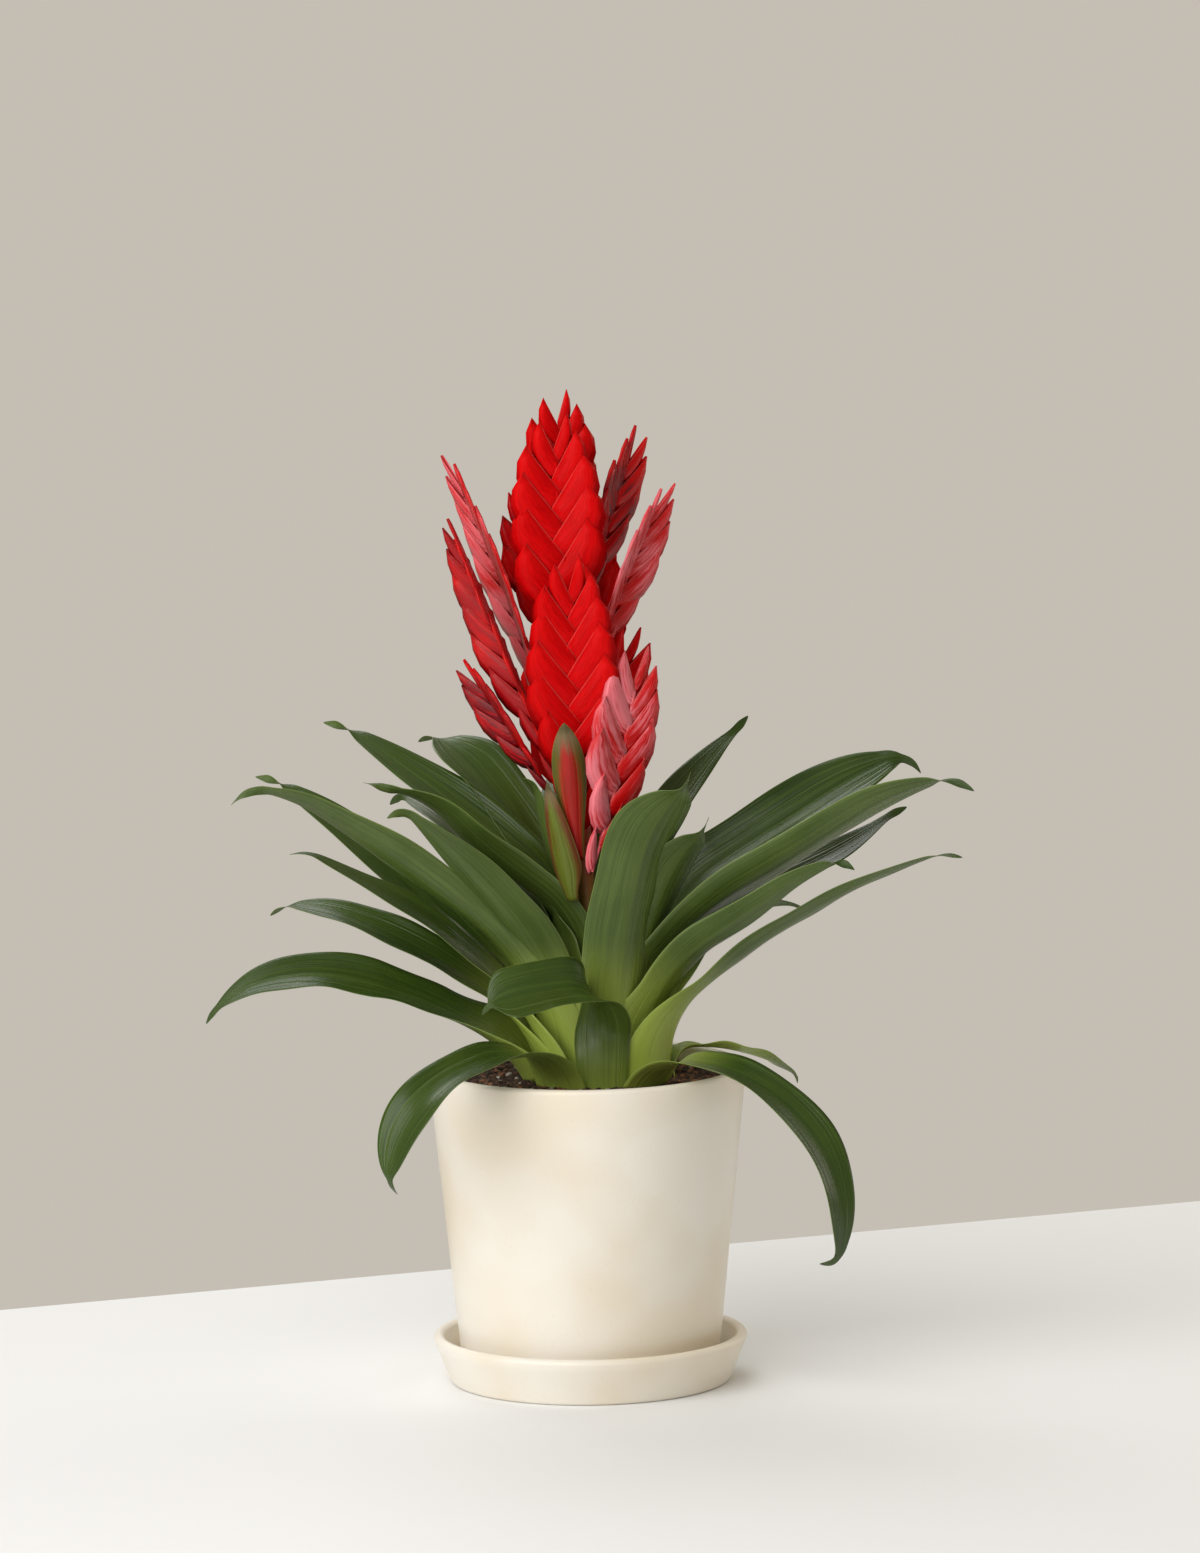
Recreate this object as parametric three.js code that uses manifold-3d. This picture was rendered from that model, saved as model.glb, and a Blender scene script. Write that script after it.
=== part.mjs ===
// A potted bromeliad: a glazed pot on its saucer, potting mix, a rosette of strap leaves
// and a branched flower head of flat two-ranked spikes.
// Millimetres, +Z up. The origin is the middle of the saucer's foot, on the table.
import * as THREE from 'three';
import { mergeVertices } from 'three/addons/utils/BufferGeometryUtils.js';
import Module from 'manifold-3d';

const wasm = await Module();
wasm.setup();

// Driving dimensions.
const gap = 0.3;
const roundSteps = 36;
const trimTolerance = 0.05;

const saucer = { foot: 71, rim: 79, height: 24.5, floor: 5, wall: 5.5 };
const pot = { foot: 64.5, mouth: 79.8, height: 155, wall: 5, floor: 5, lip: 2.4, drain: 8 };
const mix = { edge: 151.5, crown: 154 };
const plant = new THREE.Vector3(6.5, 0, mix.crown + gap);
const stem = { root: 112, rootRadius: 9, neckRadius: 5.2, topRadius: 2.6, top: [-6.6, 0, 392] };
const blade = { buried: 2, thickness: 1, edge: 0.5, camber: 45, sheath: 0.8, stations: 9 };
const spike = { half: 3.4, edge: 0.8, teeth: 6 };
const sheet = { thickness: 1.2, edge: 0.7 };

const potBase = saucer.floor + gap;
const potTop = potBase + pot.height;

const colours = {
  glaze: { color: 0xe9e1cf, roughness: 0.45, metalness: 0 },
  soil: { color: 0x3b2a20, roughness: 1, metalness: 0 },
  leaf: { color: 0x3f6b2a, roughness: 0.4, metalness: 0 },
  stem: { color: 0x8a8f3a, roughness: 0.5, metalness: 0 },
  bract: { color: 0xc9161d, roughness: 0.4, metalness: 0 },
  guard: { color: 0x8a3a2a, roughness: 0.45, metalness: 0 },
};

// Each leaf: the ring it grows from, then heading, rise and roll in degrees along its length.
// Heading 0 is +X and 90 is +Y. Values are evenly spaced from base to tip.
const leaves = [
  { name: 'leaf_left_droop', ring: 39, length: 160, width: 30,
    heading: [-122, -140, -148], rise: [67, 5, -15, -48, -94], roll: [0, -10, -15] },
  { name: 'leaf_right_droop', ring: 39, length: 195, width: 27,
    heading: [-52, -38, -32, -30], rise: [55, 0, -20, -47, -80, -110], roll: [0, 10, 10] },
  { name: 'leaf_right_back_droop', ring: 38, length: 84, width: 16,
    heading: [16, 20], rise: [105, 0, -14, -24, -45], roll: [0, -15, -15] },
  { name: 'leaf_front_folded', ring: 36, length: 120, width: 33,
    heading: [-88, -90, -120, -152, -160, -165], rise: [82, 100, 52, 0, -10, -25],
    roll: [0, 0, -40, -50, -40] },
  { name: 'leaf_left_low', ring: 38, length: 186, width: 29,
    heading: [178, 192], rise: [66, 31, 22, 11, -14, -51], roll: [0, -35, -35] },
  { name: 'leaf_left_second', ring: 34.5, length: 183, width: 25,
    heading: [186, 184], rise: [109, 49, 40, 30, 30], roll: [0, -25, -20] },
  { name: 'leaf_left_third', ring: 31, length: 177, width: 25,
    heading: [170, 166], rise: [91, 38, 28, 20, -10], roll: [0, -25, -20] },
  { name: 'leaf_left_long', ring: 29, length: 244, width: 30,
    heading: [196, 198, 190], rise: [101, 64, 41, 37, 32, -4], roll: [0, 35, 30] },
  { name: 'leaf_left_behind', ring: 26.5, length: 225, width: 29,
    heading: [162, 156], rise: [87, 43, 41, 36, 24], roll: [0, -25, -25] },
  { name: 'leaf_left_front', ring: 26, length: 190, width: 31,
    heading: [216, 210], rise: [107, 69, 49, 45, 34], roll: [0, 30, 25] },
  { name: 'leaf_left_tall', ring: 22, length: 211, width: 33,
    heading: [198, 188], rise: [111, 92, 37, 49, -6], roll: [0, 30, 25] },
  { name: 'leaf_left_upper', ring: 19, length: 251, width: 31,
    heading: [158, 148], rise: [104, 82, 36, 30, 24], roll: [0, -20, -25] },
  { name: 'leaf_back_left_tall', ring: 16, length: 217, width: 38,
    heading: [130, 140], rise: [91, 80, 53, 42, 13], roll: [0, -10, -10] },
  { name: 'leaf_left_inner', ring: 11.5, length: 160, width: 22,
    heading: [184, 200], rise: [92, 90, 69, 90], roll: [0, 10] },
  { name: 'leaf_centre_short', ring: 13, length: 92, width: 26,
    heading: [205, 200], rise: [86, 86, 84, 70], roll: [0, 10] },
  { name: 'leaf_right_tall', ring: 15, length: 212, width: 22,
    heading: [58, 40], rise: [86, 78, 43, 27], roll: [0, 25, 30] },
  { name: 'leaf_front_broad', ring: 21, length: 183, width: 40,
    heading: [-72, -42], rise: [86, 76, 66, 26], roll: [0, -10, -25] },
  { name: 'leaf_front_right', ring: 18, length: 151, width: 34,
    heading: [-42, -32], rise: [83, 79, 66, 34], roll: [0, -15, -25] },
  { name: 'leaf_right_upper', ring: 24, length: 250, width: 34,
    heading: [14, 22], rise: [113, 69, 29, 28, 14], roll: [0, 35, 35] },
  { name: 'leaf_right_long', ring: 28, length: 263, width: 30,
    heading: [-22, -15], rise: [125, 50, 31, 34, 3], roll: [0, -35, -35] },
  { name: 'leaf_right_behind', ring: 32, length: 218, width: 22,
    heading: [25, 29], rise: [124, 51, 22, 20, 37], roll: [0, 20, 25] },
  { name: 'leaf_right_curled', ring: 31.5, length: 179, width: 25,
    heading: [-32, -15], rise: [115, 62, 33, 36, 14], roll: [0, -40, -55] },
  { name: 'leaf_right_arched', ring: 29, length: 138, width: 16,
    heading: [3, 14], rise: [118, 55, 58, 24, -32], roll: [0, 15, 15] },
  { name: 'leaf_right_low', ring: 36, length: 204, width: 21,
    heading: [-14, -5], rise: [101, 42, 33, 26, 12], roll: [0, -25, -25] },
  { name: 'leaf_back_low', ring: 37, length: 170, width: 34,
    heading: [96, 98], rise: [72, 35, 10, -25, -45], roll: [0, 10] },
  { name: 'leaf_back_right_low', ring: 35, length: 185, width: 34,
    heading: [72, 68], rise: [82, 50, 28, 0, -30], roll: [0, 10] },
  { name: 'leaf_back_left_low', ring: 33, length: 190, width: 34,
    heading: [118, 114], rise: [84, 54, 32, 8, -22], roll: [0, -10] },
  { name: 'leaf_back_right', ring: 27, length: 178, width: 34,
    heading: [48, 46], rise: [90, 62, 44, 26, 0], roll: [0, 10] },
  { name: 'leaf_back_left', ring: 23, length: 205, width: 34,
    heading: [136, 132], rise: [90, 66, 44, 26, 0], roll: [0, -10] },
  { name: 'leaf_back_right_tall', ring: 20, length: 165, width: 34,
    heading: [78, 72], rise: [90, 76, 56, 34, 5], roll: [0, 10] },
  { name: 'leaf_back_tall', ring: 17, length: 185, width: 34,
    heading: [106, 102], rise: [90, 82, 64, 40, 10], roll: [0, -10] },
  { name: 'leaf_back_inner', ring: 11, length: 135, width: 26,
    heading: [85, 85], rise: [86, 86, 80, 55], roll: [0, 0] },
];

// Each flower spike: where its axis starts and ends, its full width, where its face points,
// how far the axis bows that way, and how many degrees its two ranks fold back from it.
const spikes = [
  { name: 'spike_top', base: [-7, 0, 398], tip: [-10, 0, 497],
    width: 36, face: -80, bow: 0, fold: 5 },
  { name: 'spike_front_upper', base: [-8, -9, 350], tip: [-12, -17, 487],
    width: 49, face: -92, bow: 3, fold: 2 },
  { name: 'spike_front_lower', base: [-2, -10, 270], tip: [-5, -34, 418],
    width: 48, face: -94, bow: 3, fold: 2 },
  { name: 'spike_right_front', base: [4, -28, 262], tip: [29, -20, 371],
    width: 36, face: -62, bow: 5, fold: 8 },
  { name: 'spike_left_upper', base: [-13, 2, 318], tip: [-65, 6, 465],
    width: 38, face: -162, bow: -4, fold: -8 },
  { name: 'spike_left_middle', base: [-10, -5, 300], tip: [-64, -14, 436],
    width: 31, face: -153, bow: -1, fold: -33 },
  { name: 'spike_left_lower', base: [-16, 3, 298], tip: [-58, 8, 362],
    width: 27, face: -150, bow: 0, fold: -20 },
  { name: 'spike_right_upper', base: [0, 6, 388], tip: [29, 16, 477],
    width: 32, face: -30, bow: 0, fold: -8 },
  { name: 'spike_right_middle', base: [2, 0, 350], tip: [43, -2, 451],
    width: 31, face: -30, bow: -2, fold: -18 },
  { name: 'spike_right_lower', base: [6, 6, 310], tip: [25.5, 16, 377],
    width: 34, face: -45, bow: 0, fold: -10 },
  { name: 'spike_back_upper', base: [-5, 9, 352], tip: [-27, 20, 450],
    width: 38, face: 110, bow: 0, fold: 5 },
  { name: 'spike_back_middle', base: [-1, 9, 322], tip: [2, 34, 430],
    width: 42, face: 88, bow: 3, fold: 6 },
  { name: 'spike_back_lower', base: [0, 9, 272], tip: [-14, 38, 372],
    width: 42, face: 96, bow: 3, fold: 6 },
];

// Stiff green-and-red bracts that wrap the flower stalk.
const guards = [
  { name: 'guard_bract_front', base: [-3, -17, 266], tip: [-9, -38, 338], width: 20,
    face: -92, broadest: 0.72 },
  { name: 'guard_bract_left', base: [-6, -19, 246], tip: [-18, -29, 307], width: 17,
    face: -112, broadest: 0.3 },
  { name: 'guard_bract_right', base: [10, 6, 240], tip: [18, 13, 292], width: 18,
    face: 20, broadest: 0.6 },
];

const mixed = (a, b, t) => a + (b - a) * t;
const radians = THREE.MathUtils.degToRad;
const smooth = THREE.MathUtils.smoothstep;

// Reads a list of evenly spaced values at s, from 0 at its start to 1 at its end.
function along(values, s) {
  const place = s * (values.length - 1);
  const k = Math.min(Math.floor(place), values.length - 2);
  return mixed(values[k], values[k + 1], place - k);
}

// Skins a row of rings. A ring runs across the upper side and back along the lower side.
function loft(rings) {
  const count = rings[0].length;
  const across = count / 2;
  const points = rings.flat().flatMap((p) => p.toArray());
  const faces = [];
  const quad = (a, b, c, d) => faces.push(a, b, c, a, c, d);
  for (let k = 0; k < rings.length - 1; k += 1) {
    for (let i = 0; i < count; i += 1) {
      const j = (i + 1) % count;
      quad(k * count + i, (k + 1) * count + i, (k + 1) * count + j, k * count + j);
    }
  }
  const last = (rings.length - 1) * count;
  for (let i = 0; i < across - 1; i += 1) {
    const back = count - 1 - i;
    quad(i, i + 1, back - 1, back);
    quad(last + back, last + back - 1, last + i + 1, last + i);
  }
  const geometry = new THREE.BufferGeometry();
  geometry.setAttribute('position', new THREE.Float32BufferAttribute(points, 3));
  geometry.setIndex(faces);
  return geometry;
}

// One ring of a thin cambered strip, swollen by a margin when it is used as a cutter.
function stripRing({ centre, side, normal, width, camber, thickness, edge, margin }) {
  const turns = [-1, -1 / 3, 1 / 3, 1];
  const place = (u, sign) => {
    const arc = (u * (width / 2 + margin)) / camber;
    const half = mixed(thickness, edge, u * u) / 2 + margin;
    return centre.clone()
      .addScaledVector(side, camber * Math.sin(arc))
      .addScaledVector(normal, camber * (1 - Math.cos(arc)) + sign * half);
  };
  const upper = turns.map((u) => place(u, 1));
  const lower = turns.map((u) => place(u, -1)).reverse();
  return [...upper, ...lower];
}

// Strap outline: parallel sides, a rounded shoulder, then a narrow tail.
function strapWidth(leaf, s) {
  const full = mixed(leaf.ring * blade.sheath, leaf.width, smooth(s, 0.04, 0.32));
  const end = THREE.MathUtils.clamp((s - 0.55) / 0.4, 0, 1);
  const tail = 0.1 * Math.sqrt(1 - s);
  return full * Math.max((1 - end ** 2.8) ** 0.75, tail, 0.03);
}

function leafShape(leaf, margin = 0) {
  const steps = 120;
  const rings = [];
  const centre = plant.clone();
  const start = radians(leaf.heading[0]);
  centre.x += leaf.ring * Math.cos(start);
  centre.y += leaf.ring * Math.sin(start);
  centre.z -= blade.buried;
  for (let k = 0; k <= steps; k += 1) {
    const s = k / steps;
    const heading = radians(along(leaf.heading, s));
    const rise = radians(along(leaf.rise, s));
    const roll = radians(along(leaf.roll, s));
    const flat = new THREE.Vector3(Math.cos(heading), Math.sin(heading), 0);
    const forward = flat.clone().multiplyScalar(Math.cos(rise));
    forward.z = Math.sin(rise);
    const left = new THREE.Vector3(-flat.y, flat.x, 0);
    const face = forward.clone().cross(left);
    const side = left.clone().multiplyScalar(Math.cos(roll)).addScaledVector(face, Math.sin(roll));
    const normal = face.clone().multiplyScalar(Math.cos(roll)).addScaledVector(left, -Math.sin(roll));
    if (k % (steps / (blade.stations - 1)) === 0) {
      const bend = smooth(s, 0, 0.3);
      rings.push(stripRing({
        centre,
        side,
        normal,
        margin,
        width: strapWidth(leaf, s),
        camber: mixed(leaf.ring, blade.camber, bend),
        thickness: blade.thickness,
        edge: blade.edge,
      }));
    }
    centre.addScaledVector(forward, leaf.length / steps);
  }
  return loft(rings);
}

// A flat spike: overlapping bracts give each edge a row of teeth, staggered left and right.
function spikeShape({ base, tip, width, face, bow, fold }, margin = 0) {
  const start = new THREE.Vector3(...base);
  const axis = new THREE.Vector3(...tip).sub(start);
  const forward = axis.clone().normalize();
  const facing = new THREE.Vector3(Math.cos(radians(face)), Math.sin(radians(face)), 0);
  const side = facing.clone().cross(forward).normalize();
  const normal = forward.clone().cross(side);
  const outline = (s) => mixed(0.3, 1, smooth(s, 0, 0.6)) * mixed(1, 0.2, smooth(s, 0.7, 1) ** 1.3);
  const back = Math.sin(radians(fold));
  const out = Math.cos(radians(fold));
  const reach = (s, shift) => {
    const turn = s * spike.teeth + shift;
    return (width / 2) * outline(s) * mixed(1, 0.84, turn - Math.floor(turn)) + margin;
  };
  const rings = [];
  const stations = spike.teeth * 2;
  for (let k = 0; k <= stations; k += 1) {
    const s = k / stations;
    const centre = start.clone()
      .addScaledVector(axis, s)
      .addScaledVector(facing, bow * 4 * s * (1 - s));
    const half = spike.half * mixed(1, 0.35, s) + margin;
    const thin = spike.edge / 2 + margin;
    const at = (across, lift) => centre.clone()
      .addScaledVector(side, across * out)
      .addScaledVector(normal, lift - Math.abs(across) * back);
    const left = reach(s, 0.02);
    const right = reach(s, 0.52);
    const upper = [at(-left, thin), at(0, half), at(right, thin)];
    const lower = [at(right, -thin), at(0, -half), at(-left, -thin)];
    rings.push([...upper, ...lower]);
  }
  return loft(rings);
}

// A boat-shaped bract that stands along the stalk, hollow side inwards.
function guardShape({ base, tip, width, face, broadest }, margin = 0) {
  const start = new THREE.Vector3(...base);
  const axis = new THREE.Vector3(...tip).sub(start);
  const forward = axis.clone().normalize();
  const facing = new THREE.Vector3(Math.cos(radians(face)), Math.sin(radians(face)), 0);
  const side = forward.clone().cross(facing).normalize();
  const normal = forward.clone().cross(side);
  const rings = [];
  const stations = 7;
  for (let k = 0; k <= stations; k += 1) {
    const s = k / stations;
    const end = smooth(s, broadest - 0.04, 1) ** 1.5;
    const swell = mixed(0.34, 1, smooth(s, 0, broadest)) * mixed(1, 0.1, end);
    rings.push(stripRing({
      centre: start.clone().addScaledVector(axis, s),
      side,
      normal,
      margin,
      width: width * swell,
      camber: 14,
      thickness: sheet.thickness,
      edge: sheet.edge,
    }));
  }
  return loft(rings);
}

// The flower stalk, from the root crown inside the mix up to the head.
function stemShape(margin = 0) {
  const top = new THREE.Vector3(...stem.top);
  const foot = new THREE.Vector3(plant.x, plant.y, plant.z);
  const root = new THREE.Vector3(plant.x, plant.y, stem.root);
  const sides = 12;
  const stations = [
    [root, stem.rootRadius * 0.7],
    [root.clone().setZ(stem.root + 12), stem.rootRadius],
    [foot.clone().setZ(foot.z - 6), stem.rootRadius * 0.85],
    [foot.clone().lerp(top, 0.1), stem.neckRadius],
    [foot.clone().lerp(top, 0.55), mixed(stem.neckRadius, stem.topRadius, 0.5)],
    [top, stem.topRadius],
  ];
  const rings = stations.map(([centre, radius]) => {
    const ring = [];
    for (let i = 0; i < sides; i += 1) {
      const turn = Math.PI - ((i + 0.5) / sides) * 2 * Math.PI;
      const reach = radius + margin;
      ring.push(new THREE.Vector3(reach * Math.cos(turn), reach * Math.sin(turn), 0).add(centre));
    }
    return ring;
  });
  return loft(rings);
}

// Points of a round edge in a turned profile, centred on (x, y), between two angles.
function roundEdge(x, y, radius, from, to, steps = 3) {
  const points = [];
  for (let k = 0; k <= steps; k += 1) {
    const turn = radians(mixed(from, to, k / steps));
    points.push(new THREE.Vector2(x + radius * Math.cos(turn), y + radius * Math.sin(turn)));
  }
  return points;
}

// Turns a closed profile, listed anticlockwise from its lower inner corner.
function turned(profile) {
  const lathe = new THREE.LatheGeometry([...profile, profile[0].clone()], roundSteps);
  lathe.deleteAttribute('normal');
  lathe.deleteAttribute('uv');
  lathe.rotateX(Math.PI / 2);
  return mergeVertices(lathe, 1e-3);
}

const point = (x, y) => new THREE.Vector2(x, y);
const potInside = (z) => mixed(pot.foot, pot.mouth, (z - potBase) / pot.height) - pot.wall;

function potShape() {
  const top = potTop;
  const bottom = potBase;
  const outer = pot.mouth - pot.lip;
  const inner = pot.mouth - pot.wall + pot.lip;
  return turned([
    point(pot.drain, bottom),
    ...roundEdge(pot.foot - 2, bottom + 2, 2, -90, 0, 2),
    ...roundEdge(outer, top - pot.lip, pot.lip, 0, 90),
    ...roundEdge(inner, top - pot.lip, pot.lip, 90, 180),
    point(potInside(bottom + pot.floor + 3), bottom + pot.floor + 3),
    point(potInside(bottom + pot.floor) - 3, bottom + pot.floor),
    point(pot.drain, bottom + pot.floor),
  ]);
}

function saucerShape() {
  const lip = saucer.wall / 2;
  const crest = saucer.height - lip;
  return turned([
    point(0, 0),
    ...roundEdge(saucer.foot - 2.5, 2.5, 2.5, -90, -20, 2),
    ...roundEdge(saucer.rim - lip, crest, lip, 0, 180, 4),
    point(saucer.foot - saucer.wall + 1.5, saucer.floor + 3),
    point(saucer.foot - saucer.wall - 1.5, saucer.floor),
    point(0, saucer.floor),
  ]);
}

function mixShape(margin = 0) {
  const low = potBase + pot.floor + gap;
  const corner = potBase + pot.floor + 3;
  return turned([
    point(0, low),
    point(potInside(low) - 3 - 2 * gap, low),
    point(potInside(corner) - gap * 2, corner + gap),
    point(potInside(mix.edge) - gap * 2, mix.edge + margin),
    point(55, mix.crown - 0.5 + margin),
    point(0, mix.crown + margin),
  ]);
}

function toSolid(geometry) {
  return new wasm.Manifold(new wasm.Mesh({
    numProp: 3,
    vertProperties: new Float32Array(geometry.attributes.position.array),
    triVerts: new Uint32Array(geometry.index.array),
  }));
}

function toGeometry(solid) {
  const mesh = solid.getMesh();
  const geometry = new THREE.BufferGeometry();
  geometry.setAttribute('position', new THREE.BufferAttribute(new Float32Array(mesh.vertProperties), 3));
  geometry.setIndex(new THREE.BufferAttribute(new Uint32Array(mesh.triVerts), 1));
  return geometry;
}

const object = new THREE.Group();
const cutters = [];

// Trims a piece clear of the pieces already placed, and keeps its largest body.
function place(name, look, shape) {
  let solid = toSolid(shape(0));
  const box = solid.boundingBox();
  for (const cutter of cutters) {
    const apart = [0, 1, 2].some((i) => cutter.box.min[i] > box.max[i] || cutter.box.max[i] < box.min[i]);
    if (!apart) solid = solid.subtract(cutter.solid);
  }
  const bodies = solid.simplify(trimTolerance).decompose().sort((a, b) => b.volume() - a.volume());
  const swollen = toSolid(shape(gap));
  cutters.push({ solid: swollen, box: swollen.boundingBox() });
  const mesh = new THREE.Mesh(toGeometry(bodies[0]), new THREE.MeshStandardMaterial(colours[look]));
  mesh.name = name;
  object.add(mesh);
}

function placeWhole(name, look, geometry) {
  const mesh = new THREE.Mesh(geometry, new THREE.MeshStandardMaterial(colours[look]));
  mesh.name = name;
  object.add(mesh);
}

placeWhole('saucer', 'glaze', saucerShape());
placeWhole('pot', 'glaze', potShape());
place('flower_stem', 'stem', stemShape);
place('potting_mix', 'soil', mixShape);
spikes.forEach((item) => place(item.name, 'bract', (margin) => spikeShape(item, margin)));
guards.forEach((item) => place(item.name, 'guard', (margin) => guardShape(item, margin)));
[...leaves].sort((a, b) => a.ring - b.ring)
  .forEach((item) => place(item.name, 'leaf', (margin) => leafShape(item, margin)));

export default object;
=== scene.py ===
import math
import random

import bpy
import numpy as np
from mathutils import Matrix, Vector


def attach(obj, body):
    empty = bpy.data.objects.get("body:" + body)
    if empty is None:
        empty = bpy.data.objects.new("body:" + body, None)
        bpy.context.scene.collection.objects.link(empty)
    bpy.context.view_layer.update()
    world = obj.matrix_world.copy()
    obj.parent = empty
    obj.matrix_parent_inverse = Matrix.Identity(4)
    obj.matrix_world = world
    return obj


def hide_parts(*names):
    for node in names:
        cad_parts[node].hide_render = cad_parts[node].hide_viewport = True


# A potted bromeliad, in metres. Lengths in the dictionaries are millimetres, angles are degrees.
# Noise scales, bump distances and light powers are in Blender's own units.
mm = 0.001
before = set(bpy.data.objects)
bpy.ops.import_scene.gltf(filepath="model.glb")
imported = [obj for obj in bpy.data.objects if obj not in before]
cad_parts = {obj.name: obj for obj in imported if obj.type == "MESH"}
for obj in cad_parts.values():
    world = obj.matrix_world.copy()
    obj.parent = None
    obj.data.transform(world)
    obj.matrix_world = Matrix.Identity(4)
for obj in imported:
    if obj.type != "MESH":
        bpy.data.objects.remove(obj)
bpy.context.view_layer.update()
print("frame loaded:", len(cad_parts), "CAD nodes")


def mix(a, b, t):
    return a + (b - a) * t


def smooth(s, low, high):
    t = np.clip((s - low) / (high - low), 0, 1)
    return t * t * (3 - 2 * t)


# Reads evenly spaced values at s, which runs from 0 to 1.
def along(values, s):
    return np.interp(s, np.linspace(0, 1, len(values)), values)


def camel(node):
    first, *rest = node.split("_")
    return first + "".join(word.capitalize() for word in rest)


def solidFrom(name, points, faces, uv=None, uvName="ownUv"):
    mesh = bpy.data.meshes.new(name)
    mesh.from_pydata([tuple(p) for p in points], [], faces)
    mesh.shade_smooth()
    if uv is not None:
        layer = mesh.uv_layers.new(name=uvName)
        corners = np.zeros(len(mesh.loops), np.int32)
        mesh.loops.foreach_get("vertex_index", corners)
        layer.uv.foreach_set("vector", np.asarray(uv, np.float32)[corners].ravel())
    piece = bpy.data.objects.new(name, mesh)
    bpy.context.scene.collection.objects.link(piece)
    return piece


def addNumbers(piece, name, values):
    made = piece.data.attributes.new(name, "FLOAT_VECTOR", "POINT")
    made.data.foreach_set("vector", np.asarray(values, np.float32).ravel())


def standFor(piece, node, material):
    piece.data.materials.clear()
    piece.data.materials.append(material)
    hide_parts(node)
    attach(piece, "root")


# Closes two skins of a sheet, outer and inner, each rows by columns of points.
def closedSheet(outer, inner):
    rows, columns = outer.shape[:2]
    count = rows * columns
    faces = []
    for i in range(rows - 1):
        for j in range(columns - 1):
            a = i * columns + j
            quad = (a, a + 1, a + columns + 1, a + columns)
            faces.append(quad)
            faces.append(tuple(count + k for k in reversed(quad)))
    rim = list(range(columns))
    rim += [i * columns + columns - 1 for i in range(1, rows)]
    rim += [(rows - 1) * columns + j for j in range(columns - 2, -1, -1)]
    rim += [i * columns for i in range(rows - 2, 0, -1)]
    for k, a in enumerate(rim):
        b = rim[(k + 1) % len(rim)]
        faces.append((a, count + a, count + b, b))
    points = np.concatenate([outer.reshape(-1, 3), inner.reshape(-1, 3)])
    return points, faces


# One output socket of a node, which can be used in arithmetic.
class Wire:
    def __init__(self, graph, socket):
        self.graph = graph
        self.socket = socket

    def other(self, name):
        return Wire(self.graph, self.socket.node.outputs[name])

    def maths(self, operation, first, second=0.0):
        return self.graph.add("ShaderNodeMath", {"operation": operation}, {0: first, 1: second})

    def __add__(self, value):
        return self.maths("ADD", self, value)

    def __radd__(self, value):
        return self.maths("ADD", value, self)

    def __sub__(self, value):
        return self.maths("SUBTRACT", self, value)

    def __rsub__(self, value):
        return self.maths("SUBTRACT", value, self)

    def __mul__(self, value):
        return self.maths("MULTIPLY", self, value)

    def __rmul__(self, value):
        return self.maths("MULTIPLY", value, self)

    def __truediv__(self, value):
        return self.maths("DIVIDE", self, value)

    def __pow__(self, value):
        return self.maths("POWER", self, value)

    def __abs__(self):
        return self.maths("ABSOLUTE", self)


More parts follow.
